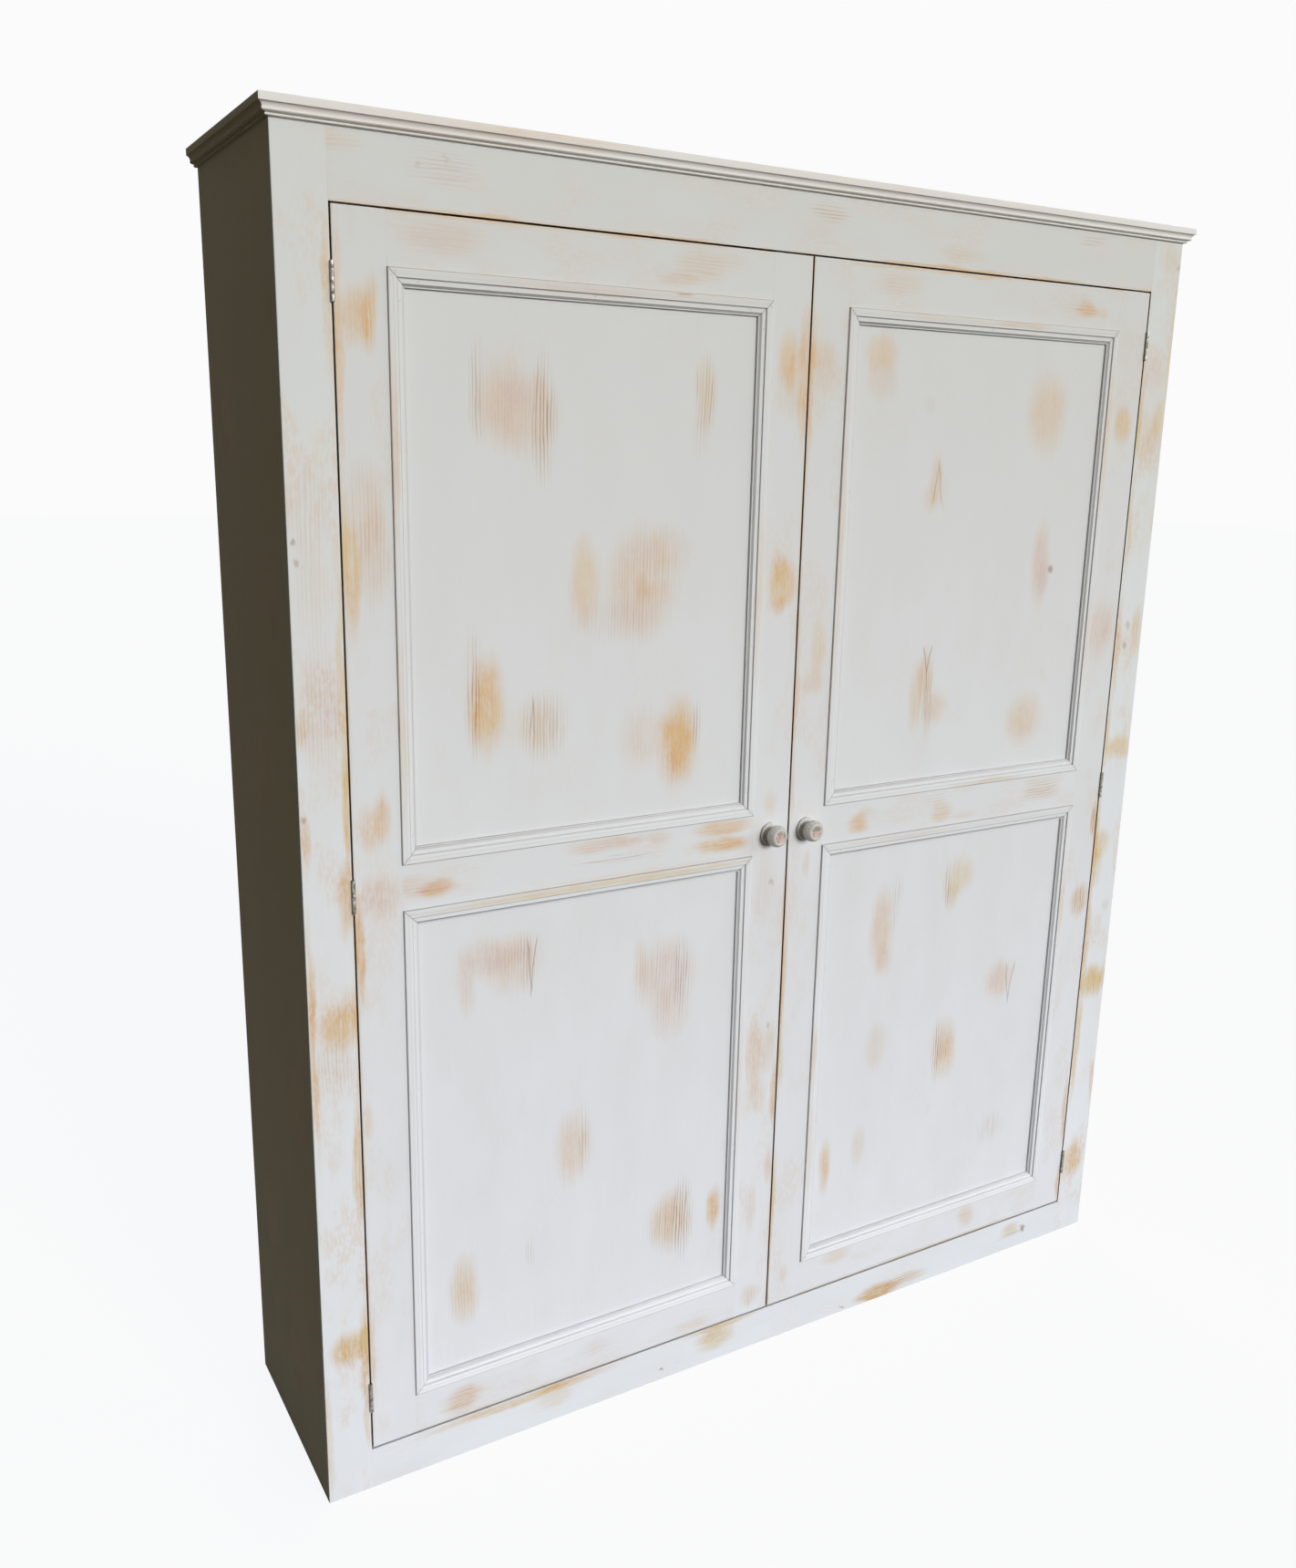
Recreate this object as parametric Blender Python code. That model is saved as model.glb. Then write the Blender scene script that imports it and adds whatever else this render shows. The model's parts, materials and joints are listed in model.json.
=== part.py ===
import math

import bmesh
import bpy
from mathutils import Matrix, Vector

# Carcass and cornice. The carcass height is what shows below the cornice.
carcass_width = 1.665
carcass_depth = 0.382
cornice_base_height = 2.000
cornice_fillet_height = 0.0102
cornice_ovolo_height = 0.0125
cornice_bead_height = 0.0018
cornice_projection = 0.0150
cornice_step = 0.0013
cornice_bead_projection = 0.0074
cornice_ovolo_foot = 0.0080
cornice_mitre_gap = 0.0003

# Boards of the carcass
side_thickness = 0.020
top_board_thickness = 0.020
bottom_board_thickness = 0.020
back_thickness = 0.006
back_rebate_width = 0.010
partition_thickness = 0.020
shelf_thickness = 0.020
shelf_setback = 0.025
shelves_in_each_bay = 3
housing_depth = 0.006
bottom_board_rise = 0.010

# Face frame
frame_thickness = 0.022
frame_stile_width = 0.071
frame_top_rail_height = 0.088
frame_bottom_rail_height = 0.070
frame_tenon_length = 0.030
frame_tenon_thickness = 0.008
frame_tenon_shoulder = 0.012

# Stop batten, magnetic catches and their strike plates
stop_batten_thickness = 0.020
stop_batten_drop = 0.012
stop_batten_cover = 0.030
catch_from_centre = 0.040
catch_width = 0.030
catch_depth = 0.017
catch_height = 0.013
catch_lug_length = 0.008
catch_lug_thickness = 0.003
strike_width = 0.038
strike_height = 0.012
strike_thickness = 0.0015

# Doors, inset flush with the face frame
door_gap = 0.0025
door_bottom_gap = 0.0030
door_meeting_gap = 0.0025
door_stile_width = 0.072
door_rail_height = 0.069
door_middle_rail_centre = 0.993
panel_thickness = 0.009
panel_setback = 0.0067
panel_groove_depth = 0.010
panel_edge_play = 0.002

# Moulding planted round each panel, from its outer side inwards
moulding_band_width = 0.0128
moulding_hollow_width = 0.0072
moulding_inner_width = 0.0047
moulding_proud = 0.0030
moulding_first_step = 0.0025
moulding_second_step = 0.0018
moulding_edge_round = 0.0015

# Knobs and the screws that hold them
knob_base_radius = 0.0202
knob_base_thickness = 0.0050
knob_neck_radius = 0.0105
knob_neck_end = 0.0120
knob_cap_radius = 0.0195
knob_cap_widest = 0.0200
knob_length = 0.0310
knob_flat_radius = 0.0080
knob_dimple_depth = 0.0006
knob_bore_depth = 0.0150
knob_screw_radius = 0.0019
knob_screw_bite = 0.0140
knob_screw_head_radius = 0.0042
knob_screw_head_height = 0.0024

# Butt hinges: odd knuckles and the pin on the frame's leaf, even knuckles on the door's
hinge_length = 0.050
hinge_leaf_reach = 0.0165
hinge_leaf_thickness = 0.0012
hinge_knuckle_radius = 0.00275
hinge_knuckle_count = 5
hinge_pin_radius = 0.0012
hinge_pin_proud = 0.0025
hinge_pocket_depth = 0.0010
hinge_from_door_end = 0.0930

# Clearance between touching pieces, and the softened corner of a planed board
joint_gap = 0.0003
arris = 0.0012
knob_steps = 28
knuckle_steps = 16
pin_steps = 10

# Places worked out from the sizes above. The front looks along -Y and the floor is z = 0.
half_width = carcass_width / 2
knob_reach = joint_gap + knob_length
front = (max(knob_reach, cornice_projection) - carcass_depth) / 2
rear = front + carcass_depth
frame_back = front + frame_thickness
board_front = frame_back + joint_gap
back_face = rear - back_thickness
board_rear = back_face - joint_gap
side_inner = half_width - side_thickness
cornice_height = cornice_fillet_height + cornice_ovolo_height + cornice_bead_height
cornice_top = cornice_base_height + cornice_height
top_board_base = cornice_top - top_board_thickness
carcass_top = top_board_base - joint_gap
rail_underside = cornice_base_height - frame_top_rail_height
opening_half = half_width - frame_stile_width
bottom_board_top = frame_bottom_rail_height + bottom_board_rise
bottom_board_base = bottom_board_top - bottom_board_thickness
partition_face = partition_thickness / 2
shelf_front = frame_back + shelf_setback
stop_underside = rail_underside - stop_batten_drop
door_far = opening_half - door_gap
door_near = door_meeting_gap / 2
door_base = frame_bottom_rail_height + door_bottom_gap
door_top = rail_underside - door_gap
field_far = door_far - door_stile_width
field_near = door_near + door_stile_width
middle_rail_base = door_middle_rail_centre - door_rail_height / 2
middle_rail_top = door_middle_rail_centre + door_rail_height / 2
panel_front = front + panel_setback
panel_rear = panel_front + panel_thickness
knob_from_centre = door_near + door_stile_width / 2
knob_hole_radius = knob_screw_radius + joint_gap
pin_from_centre = opening_half - door_gap / 2
pin_y = front - hinge_pin_proud
leaf_outer = door_gap / 2 + hinge_pocket_depth - joint_gap
leaf_inner = leaf_outer - hinge_leaf_thickness
hinge_heights = (
    door_base + hinge_from_door_end,
    (door_base + door_top) / 2,
    door_top - hinge_from_door_end,
)
hand_names = {-1: "left", 1: "right"}


def clear_scene():
    for item in list(bpy.data.objects):
        bpy.data.objects.remove(item, do_unlink=True)


def make_material(name, colour, roughness, metallic=0.0):
    material = bpy.data.materials.new(name)
    material.use_nodes = True
    material.diffuse_color = (*colour, 1.0)
    shader = material.node_tree.nodes["Principled BSDF"]
    shader.inputs["Base Color"].default_value = (*colour, 1.0)
    shader.inputs["Roughness"].default_value = roughness
    shader.inputs["Metallic"].default_value = metallic
    return material


def span(hand, near, far):
    """The x range between two distances from the centre line, on the given side."""
    return tuple(sorted((hand * near, hand * far)))


def world_origin(item):
    origin = Vector((0.0, 0.0, 0.0))
    while item is not None:
        origin = origin + item.location
        item = item.parent
    return origin


def add_object(name, mesh, origin, parent=None, material=None):
    item = bpy.data.objects.new(name, mesh)
    bpy.context.scene.collection.objects.link(item)
    item.parent = parent
    item.location = Vector(origin) - world_origin(parent)
    if material is not None:
        mesh.materials.clear()
        mesh.materials.append(material)
    return item


def mesh_from(shape, name):
    bmesh.ops.recalc_face_normals(shape, faces=shape.faces)
    mesh = bpy.data.meshes.new(name)
    shape.to_mesh(mesh)
    shape.free()
    return mesh


def face_side(face):
    """Names the side that a box's face looks to, such as -x or +z."""
    values = list(face.normal)
    axis = max(range(3), key=lambda i: abs(values[i]))
    return ("+" if values[axis] > 0 else "-") + "xyz"[axis]


def box_mesh(name, size, soft=""):
    """A box about its own middle. Edges between two faces named in soft are rounded."""
    shape = bmesh.new()
    bmesh.ops.create_cube(shape, size=1.0)
    bmesh.ops.scale(shape, vec=size, verts=shape.verts)
    shape.normal_update()
    softened = set(soft.split())
    edges = [e for e in shape.edges if all(face_side(f) in softened for f in e.link_faces)]
    if edges:
        bmesh.ops.bevel(shape, geom=edges, offset=arris, segments=2, profile=0.5, affect="EDGES")
    return mesh_from(shape, name)


def middle_and_size(x, y, z):
    middle = Vector([(low + high) / 2 for low, high in (x, y, z)])
    size = Vector([high - low for low, high in (x, y, z)])
    return middle, size


def board(name, x, y, z, material, parent=None, soft=""):
    middle, size = middle_and_size(x, y, z)
    return add_object(name, box_mesh(name, size, soft), middle, parent, material)


def hide_helper(item):
    item.hide_render = True
    item.display_type = "WIRE"


def add_boolean(piece, helper, operation):
    hide_helper(helper)
    modifier = piece.modifiers.new(helper.name, "BOOLEAN")
    modifier.object = helper
    modifier.operation = operation
    modifier.solver = "EXACT"


def cut_box(piece, x, y, z):
    """Takes a box, given in world ranges, out of a piece."""
    middle, size = middle_and_size(x, y, z)
    cutter = add_object(piece.name + ".cutter", box_mesh("cutter", size), middle, piece)
    add_boolean(piece, cutter, "DIFFERENCE")


def cylinder_mesh(name, radius, length, steps, axis):
    """A round bar about its own middle, along y or z."""
    shape = bmesh.new()
    bmesh.ops.create_cone(
        shape, cap_ends=True, segments=steps, radius1=radius, radius2=radius, depth=length
    )
    if axis == "y":
        turn = Matrix.Rotation(math.radians(90), 3, "X")
        bmesh.ops.rotate(shape, cent=(0, 0, 0), matrix=turn, verts=shape.verts)
    return mesh_from(shape, name)


def smooth(mesh, degrees=35):
    mesh.shade_smooth()
    mesh.set_sharp_from_angle(angle=math.radians(degrees))


def arc(centre, radii, start, end, steps):
    """Points on a part of an ellipse, in two coordinates, angles in degrees."""
    points = []
    for step in range(steps + 1):
        angle = math.radians(start + (end - start) * step / steps)
        points.append((centre[0] + radii[0] * math.cos(angle), centre[1] + radii[1] * math.sin(angle)))
    return points


def bowed(start, end, first, last, steps):
    """Points from start to end on the part of an ellipse between two angles in degrees."""
    turns = [(math.cos(math.radians(angle)), math.sin(math.radians(angle))) for angle in (first, last)]
    radii = [(end[i] - start[i]) / (turns[1][i] - turns[0][i]) for i in (0, 1)]
    centre = [end[i] - radii[i] * turns[1][i] for i in (0, 1)]
    return arc(centre, radii, first, last, steps)


def swept_mesh(name, outlines, closed):
    """Joins equal outlines one after the other, as a ring or with a cap at each end."""
    shape = bmesh.new()
    rings = [[shape.verts.new(point) for point in outline] for outline in outlines]
    count = len(rings[0])
    pairs = list(zip(rings, rings[1:]))
    if closed:
        pairs.append((rings[-1], rings[0]))
    else:
        shape.faces.new(rings[0])
        shape.faces.new(reversed(rings[-1]))
    for first, second in pairs:
        for i in range(count):
            j = (i + 1) % count
            shape.faces.new((first[i], first[j], second[j], second[i]))
    return mesh_from(shape, name)


def turned_mesh(name, outline, steps):
    """Turns an outline of (distance from the door, radius) about the y axis, towards -y."""
    shape = bmesh.new()
    verts = [shape.verts.new((radius, -distance, 0.0)) for distance, radius in outline]
    edges = [shape.edges.new(pair) for pair in zip(verts, verts[1:])]
    bmesh.ops.spin(
        shape,
        geom=verts + edges,
        cent=(0, 0, 0),
        axis=(0, 1, 0),
        angle=math.tau,
        steps=steps,
        use_merge=True,
    )
    bmesh.ops.remove_doubles(shape, verts=shape.verts, dist=0.00001)
    return mesh_from(shape, name)


def make_side(hand, material):
    outer = "-x" if hand < 0 else "+x"
    side = board(
        "side_" + hand_names[hand],
        span(hand, side_inner, half_width),
        (board_front, rear),
        (0.0, carcass_top),
        material,
        soft=outer + " +y",
    )
    past = joint_gap + back_thickness
    cut_box(
        side,
        span(hand, side_inner - past, side_inner + back_rebate_width),
        (back_face - joint_gap, rear + past),
        (-past, carcass_top + past),
    )
    housing = span(hand, side_inner - past, side_inner + housing_depth)
    cut_box(
        side,
        housing,
        (board_front - past, back_face + back_thickness / 2),
        (bottom_board_base - joint_gap, bottom_board_top + joint_gap),
    )
    for base in shelf_bases():
        cut_box(
            side,
            housing,
            (shelf_front - joint_gap, back_face + back_thickness / 2),
            (base - joint_gap, base + shelf_thickness + joint_gap),
        )


def shelf_bases():
    """Undersides of the shelves, which part a bay into equal heights."""
    clear = carcass_top - bottom_board_top - shelves_in_each_bay * shelf_thickness
    bay = clear / (shelves_in_each_bay + 1)
    return [
        bottom_board_top + bay + number * (bay + shelf_thickness)
        for number in range(shelves_in_each_bay)
    ]


def make_inside(material):
    """Bottom board, partition, shelves and stop batten."""
    reach = side_inner + housing_depth - joint_gap
    board(
        "bottom_board",
        (-reach, reach),
        (board_front, board_rear),
        (bottom_board_base, bottom_board_top),
        material,
    )
    partition = board(
        "partition",
        (-partition_face, partition_face),
        (shelf_front, board_rear),
        (bottom_board_top + joint_gap, carcass_top),
        material,
        soft="-x +x -y",
    )
    past = arris + joint_gap
    for hand in hand_names:
        for number, base in enumerate(shelf_bases(), start=1):
            cut_box(
                partition,
                span(hand, partition_face - housing_depth, partition_face + past),
                (shelf_front - past, board_rear + past),
                (base - joint_gap, base + shelf_thickness + joint_gap),
            )
            board(
                f"shelf_{hand_names[hand]}_{number}",
                span(hand, partition_face - housing_depth + joint_gap, reach),
                (shelf_front, board_rear),
                (base, base + shelf_thickness),
                material,
                soft="-y -z +z",
            )
    board(
        "stop_batten",
        (-side_inner + joint_gap, side_inner - joint_gap),
        (board_front, board_front + stop_batten_thickness),
        (stop_underside, rail_underside + stop_batten_cover),
        material,
        soft="+y -z +z",
    )


def make_outer_boards(painted, plywood):
    """Top board and the two back sheets."""
    board(
        "top_board",
        (-half_width, half_width),
        (front, rear),
        (top_board_base, cornice_top),
        painted,
    )
    for hand in hand_names:
        board(
            "back_sheet_" + hand_names[hand],
            span(hand, joint_gap / 2, side_inner + back_rebate_width - joint_gap),
            (back_face, rear),
            (bottom_board_base, carcass_top),
            plywood,
        )


def make_face_frame(material):
    half_tenon = frame_tenon_thickness / 2
    middle_y = front + frame_thickness / 2
    rails = {
        "top": (rail_underside, carcass_top),
        "bottom": (0.0, frame_bottom_rail_height),
    }
    for place, (base, top) in rails.items():
        tenon_end = opening_half + frame_tenon_length
        rail = board(
            "face_rail_" + place,
            (-tenon_end, tenon_end),
            (front, frame_back),
            (base, top),
            material,
        )
        past = frame_thickness
        for hand in hand_names:
            shoulder = span(hand, opening_half - joint_gap, tenon_end + past)
            cut_box(rail, shoulder, (front - past, middle_y - half_tenon), (base - past, top + past))
            cut_box(rail, shoulder, (middle_y + half_tenon, frame_back + past), (base - past, top + past))
            tongue = (middle_y - half_tenon - joint_gap, middle_y + half_tenon + joint_gap)
            cut_box(rail, shoulder, tongue, (base - past, base + frame_tenon_shoulder))
            cut_box(rail, shoulder, tongue, (top - frame_tenon_shoulder, top + past))
    for hand in hand_names:
        outer = "-x" if hand < 0 else "+x"
        stile = board(
            "face_stile_" + hand_names[hand],
            span(hand, opening_half, half_width),
            (front, frame_back),
            (0.0, carcass_top),
            material,
            soft=outer + " -y",
        )
        mortise_end = opening_half + frame_tenon_length + joint_gap
        for base, top in rails.values():
            cut_box(
                stile,
                span(hand, opening_half - joint_gap, mortise_end),
                (middle_y - half_tenon - joint_gap, middle_y + half_tenon + joint_gap),
                (base + frame_tenon_shoulder - joint_gap, top - frame_tenon_shoulder + joint_gap),
            )
        cut_hinge_pockets(stile, hand, opening_half - joint_gap, opening_half + hinge_pocket_depth)


def cut_hinge_pockets(stile, hand, near, far):
    half_pocket = hinge_length / 2 + joint_gap
    for height in hinge_heights:
        cut_box(
            stile,
            span(hand, near, far),
            (front - arris, pin_y + hinge_leaf_reach + joint_gap),
            (height - half_pocket, height + half_pocket),
        )


def cornice_outline():
    """Points of (projection, height), from the bottom at the carcass round to the top."""
    half_bead = cornice_bead_height / 2
    ovolo_base = cornice_bead_height + joint_gap
    ovolo_top = cornice_bead_height + cornice_ovolo_height
    ledge = cornice_projection - cornice_step
    points = [(joint_gap, 0.0)]
    points += arc((cornice_bead_projection - half_bead, half_bead), (half_bead, half_bead), -90, 90, 6)
    points += bowed((cornice_ovolo_foot, ovolo_base), (ledge, ovolo_top), -76, -4, 8)
    points += [(cornice_projection, ovolo_top), (cornice_projection, cornice_height)]
    points += [(joint_gap, cornice_height)]
    return points


def make_cornice(material):
    """A length along the front and a return on each side, mitred at the front corners."""
    outline = cornice_outline()
    origin = Vector((0.0, front, cornice_base_height))
    ends = [
        [Vector((hand * (half_width + out - cornice_mitre_gap), -out, up)) for out, up in outline]
        for hand in hand_names
    ]
    add_object("cornice_front", swept_mesh("cornice_front", ends, False), origin, None, material)
    for hand in hand_names:
        name = "cornice_" + hand_names[hand]
        mitre = [
            Vector((hand * (half_width + out), cornice_mitre_gap - out, up)) for out, up in outline
        ]
        square = [Vector((hand * (half_width + out), carcass_depth, up)) for out, up in outline]
        add_object(name, swept_mesh(name, [mitre, square], False), origin, None, material)


def make_door_frame(hand, door, material):
    """Grooved stiles, and grooved rails whose tongues fill the stile grooves."""
    name = "door_" + hand_names[hand]
    outer, inner = ("-x", "+x") if hand < 0 else ("+x", "-x")
    groove_y = (panel_front - joint_gap, panel_rear + joint_gap)
    past = frame_thickness
    depth = (front, frame_back)
    hinge_stile = board(
        name + "_hinge_stile",
        span(hand, field_far, door_far),
        depth,
        (door_base, door_top),
        material,
        door,
        outer + " -y +y -z +z",
    )
    hinge_groove = span(hand, field_far - past, field_far + panel_groove_depth)
    cut_box(hinge_stile, hinge_groove, groove_y, (door_base - past, door_top + past))
    cut_hinge_pockets(hinge_stile, hand, door_far - hinge_pocket_depth, door_far + joint_gap)
    meeting_stile = board(
        name + "_meeting_stile",
        span(hand, door_near, field_near),
        depth,
        (door_base, door_top),
        material,
        door,
        inner + " -y +y -z +z",
    )
    meeting_groove = span(hand, field_near - panel_groove_depth, field_near + past)
    cut_box(meeting_stile, meeting_groove, groove_y, (door_base - past, door_top + past))
    hole = add_object(
        meeting_stile.name + ".cutter",
        cylinder_mesh("cutter", knob_hole_radius, frame_thickness * 2, knuckle_steps, "y"),
        (hand * knob_from_centre, front + frame_thickness / 2, door_middle_rail_centre),
        meeting_stile,
    )
    add_boolean(meeting_stile, hole, "DIFFERENCE")
    rails = (
        ("bottom", door_base, door_base + door_rail_height, False, True, "-y +y -z"),
        ("middle", middle_rail_base, middle_rail_top, True, True, ""),
        ("top", door_top - door_rail_height, door_top, True, False, "-y +y +z"),
    )
    tongue = panel_groove_depth - joint_gap
    for place, base, top, groove_below, groove_above, soft in rails:
        rail = board(
            f"{name}_{place}_rail",
            span(hand, field_near - tongue, field_far + tongue),
            depth,
            (base, top),
            material,
            door,
            soft,
        )
        for shoulder in (
            span(hand, field_near - past, field_near + joint_gap),
            span(hand, field_far - joint_gap, field_far + past),
        ):
            cut_box(rail, shoulder, (front - past, panel_front), (base - past, top + past))
            cut_box(rail, shoulder, (panel_rear, frame_back + past), (base - past, top + past))
        groove_x = span(hand, field_near - past, field_far + past)
        if groove_below:
            cut_box(rail, groove_x, groove_y, (base - past, base + panel_groove_depth))
        if groove_above:
            cut_box(rail, groove_x, groove_y, (top - panel_groove_depth, top + past))


def moulding_outline():
    """Points of (distance in from the outer side, height above the panel)."""
    first = moulding_band_width
    second = first + moulding_hollow_width
    third = second + moulding_inner_width
    crown = panel_setback + moulding_proud
    middle = crown - moulding_first_step
    low = middle - moulding_second_step
    turn = moulding_edge_round
    points = [(0.0, joint_gap)]
    points += arc((turn, crown - turn), (turn, turn), 180, 90, 3)
    points += arc((first - turn, crown - turn), (turn, turn), 90, 0, 3)
    points += [(first, middle), (second - turn, middle)]
    points += [(second - turn / 2, low), (second, low)]
    points += arc((third - turn, low - turn), (turn, turn), 90, 0, 3)
    points += [(third, joint_gap)]
    return points


def make_panels(hand, door, material):
    """The two flat panels of a door, each with its moulding frame on the front."""
    name = "door_" + hand_names[hand]
    reach = panel_groove_depth - panel_edge_play
    fields = {
        "lower": (door_base + door_rail_height, middle_rail_base),
        "upper": (middle_rail_top, door_top - door_rail_height),
    }
    for place, (base, top) in fields.items():
        board(
            f"{name}_{place}_panel",
            span(hand, field_near - reach, field_far + reach),
            (panel_front, panel_rear),
            (base - reach, top + reach),
            material,
            door,
        )
        low_x, high_x = span(hand, field_near + joint_gap, field_far - joint_gap)
        low_z, high_z = base + joint_gap, top - joint_gap
        corners = (
            (low_x, low_z, 1, 1),
            (high_x, low_z, -1, 1),
            (high_x, high_z, -1, -1),
            (low_x, high_z, 1, -1),
        )
        middle = Vector(((low_x + high_x) / 2, panel_front, (base + top) / 2))
        outlines = [
            [
                Vector((x + to_x * along, panel_front - up, z + to_z * along)) - middle
                for along, up in moulding_outline()
            ]
            for x, z, to_x, to_z in corners
        ]
        mesh = swept_mesh("moulding", outlines, True)
        add_object(f"{name}_{place}_moulding", mesh, middle, door, material)


def knob_outline():
    """Points of (distance from the door, radius), from the end of the bore to the cap's centre."""
    bore = knob_hole_radius
    edge = knob_base_thickness / 2
    rim = knob_base_radius - edge
    behind = knob_cap_widest - knob_neck_end
    ahead = knob_length - knob_cap_widest
    grow = knob_cap_radius - knob_neck_radius
    points = [(knob_bore_depth, 0.0), (knob_bore_depth, bore), (0.0, bore), (0.0, rim)]
    for degrees in (-45, 0, 45, 90):
        angle = math.radians(degrees)
        points.append((edge + edge * math.sin(angle), rim + edge * math.cos(angle)))
    points.append((knob_base_thickness, knob_neck_radius + edge / 2))
    points.append(((knob_base_thickness + knob_neck_end) / 2, knob_neck_radius))
    for degrees in (10, 35, 60, 90):
        angle = math.radians(degrees)
        back = knob_cap_widest - behind * math.cos(angle)
        points.append((back, knob_neck_radius + grow * math.sin(angle)))
    flat = math.acos(knob_flat_radius / knob_cap_radius)
    dome_steps = 5
    for step in range(1, dome_steps + 1):
        angle = flat * step / dome_steps
        rise = ahead * math.sin(angle) / math.sin(flat)
        points.append((knob_cap_widest + rise, knob_cap_radius * math.cos(angle)))
    floor = knob_length - knob_dimple_depth
    points.append((floor, knob_flat_radius - 2 * knob_dimple_depth))
    points.append((floor, 0.0))
    return points


def make_knob(hand, door, wood, steel):
    """A turned knob seated on the meeting stile, and the screw through the stile that holds it."""
    name = hand_names[hand]
    centre_x = hand * knob_from_centre
    seat = Vector((centre_x, front - joint_gap, door_middle_rail_centre))
    mesh = turned_mesh("knob", knob_outline(), knob_steps)
    smooth(mesh)
    add_object("knob_" + name, mesh, seat, door, wood)
    head_face = frame_back + joint_gap
    shank_length = knob_screw_bite + frame_thickness + 2 * joint_gap
    head = knob_screw_head_height
    round_over = head / 3
    outline = [
        (shank_length, 0.0),
        (shank_length, knob_screw_radius),
        (0.0, knob_screw_radius),
        (0.0, knob_screw_head_radius),
        (-head + round_over, knob_screw_head_radius),
        (-head, knob_screw_head_radius - round_over),
        (-head, 0.0),
    ]
    screw_mesh = turned_mesh("knob_screw", outline, knuckle_steps)
    smooth(screw_mesh)
    place = Vector((centre_x, head_face, door_middle_rail_centre))
    add_object("knob_screw_" + name, screw_mesh, place, door, steel)


def make_catch(hand, door, plastic, steel):
    """A magnetic catch under the stop batten, and its strike plate on the back of the door."""
    name = hand_names[hand]
    strike_front = frame_back + joint_gap
    strike_back = strike_front + strike_thickness
    catch_front = strike_back + joint_gap
    catch_top = stop_underside - joint_gap
    middle_z = catch_top - catch_height / 2
    half = catch_width / 2
    case = board(
        "catch_" + name,
        span(hand, catch_from_centre - half, catch_from_centre + half),
        (catch_front, catch_front + catch_depth),
        (catch_top - catch_height, catch_top),
        plastic,
        soft="-x +x -y +y -z",
    )
    lug_reach = half + catch_lug_length
    middle, size = middle_and_size(
        span(hand, catch_from_centre - lug_reach, catch_from_centre + lug_reach),
        (catch_front + catch_depth / 4, catch_front + catch_depth * 3 / 4),
        (catch_top - catch_lug_thickness, catch_top),
    )
    lugs = add_object(case.name + ".lugs", box_mesh("lugs", size), middle, case)
    add_boolean(case, lugs, "UNION")
    half_plate = strike_width / 2
    board(
        "strike_plate_" + name,
        span(hand, catch_from_centre - half_plate, catch_from_centre + half_plate),
        (strike_front, strike_back),
        (middle_z - strike_height / 2, middle_z + strike_height / 2),
        steel,
        door,
    )


def knuckle_ranges(first):
    """Height ranges, about the hinge's middle, of every second knuckle from the given one."""
    pitch = hinge_length / hinge_knuckle_count
    base = -hinge_length / 2
    return [
        (base + number * pitch, base + (number + 1) * pitch)
        for number in range(first, hinge_knuckle_count, 2)
    ]


def hinge_leaf_mesh(name, own, other, hand, pinned):
    """One leaf about the pin's middle: a plate notched for the other leaf's knuckles."""
    radius = hinge_knuckle_radius
    top = hinge_length / 2
    plate_y = (leaf_inner, hinge_leaf_reach)
    middle, size = middle_and_size(span(hand, leaf_inner, leaf_outer), plate_y, (-top, top))
    leaf = add_object(name, box_mesh(name, size), middle)
    for low, high in other:
        low = low - joint_gap if low > -top else low - radius
        high = high + joint_gap if high < top else high + radius
        cut_box(leaf, (-radius, radius), (-radius, radius + joint_gap), (low, high))
    helpers = []
    for low, high in own:
        mesh = cylinder_mesh("knuckle", radius, high - low, knuckle_steps, "z")
        helpers.append((add_object("knuckle", mesh, (0, 0, (low + high) / 2)), "UNION"))
    if pinned:
        mesh = cylinder_mesh("pin", hinge_pin_radius, hinge_length - radius, pin_steps, "z")
        helpers.append((add_object("pin", mesh, (0, 0, 0)), "UNION"))
    else:
        bore = hinge_pin_radius + joint_gap
        mesh = cylinder_mesh("bore", bore, hinge_length + radius, pin_steps, "z")
        helpers.append((add_object("bore", mesh, (0, 0, 0)), "DIFFERENCE"))
    for helper, operation in helpers:
        add_boolean(leaf, helper, operation)
    bpy.context.view_layer.update()
    depsgraph = bpy.context.evaluated_depsgraph_get()
    mesh = bpy.data.meshes.new_from_object(leaf.evaluated_get(depsgraph))
    mesh.transform(Matrix.Translation(middle))
    mesh.name = name
    smooth(mesh)
    for item in [leaf, *leaf.children, *(helper for helper, _ in helpers)]:
        bpy.data.objects.remove(item, do_unlink=True)
    return mesh


def make_hinges(doors, steel):
    frame_knuckles = knuckle_ranges(0)
    door_knuckles = knuckle_ranges(1)
    places = ("bottom", "middle", "top")
    for hand in hand_names:
        frame_leaf = hinge_leaf_mesh("frame_leaf", frame_knuckles, door_knuckles, hand, True)
        door_leaf = hinge_leaf_mesh("door_leaf", door_knuckles, frame_knuckles, -hand, False)
        for place, height in zip(places, hinge_heights):
            centre = Vector((hand * pin_from_centre, pin_y, height))
            label = f"{hand_names[hand]}_{place}"
            add_object("hinge_frame_leaf_" + label, frame_leaf, centre, None, steel)
            add_object("hinge_door_leaf_" + label, door_leaf, centre, doors[hand], steel)


def make_door_pivot(hand):
    """An empty on the hinge axis that carries everything on the door."""
    pivot = add_object(
        "pivot_" + hand_names[hand], None, (hand * pin_from_centre, pin_y, 0.0)
    )
    pivot.empty_display_size = frame_stile_width
    return pivot


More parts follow.
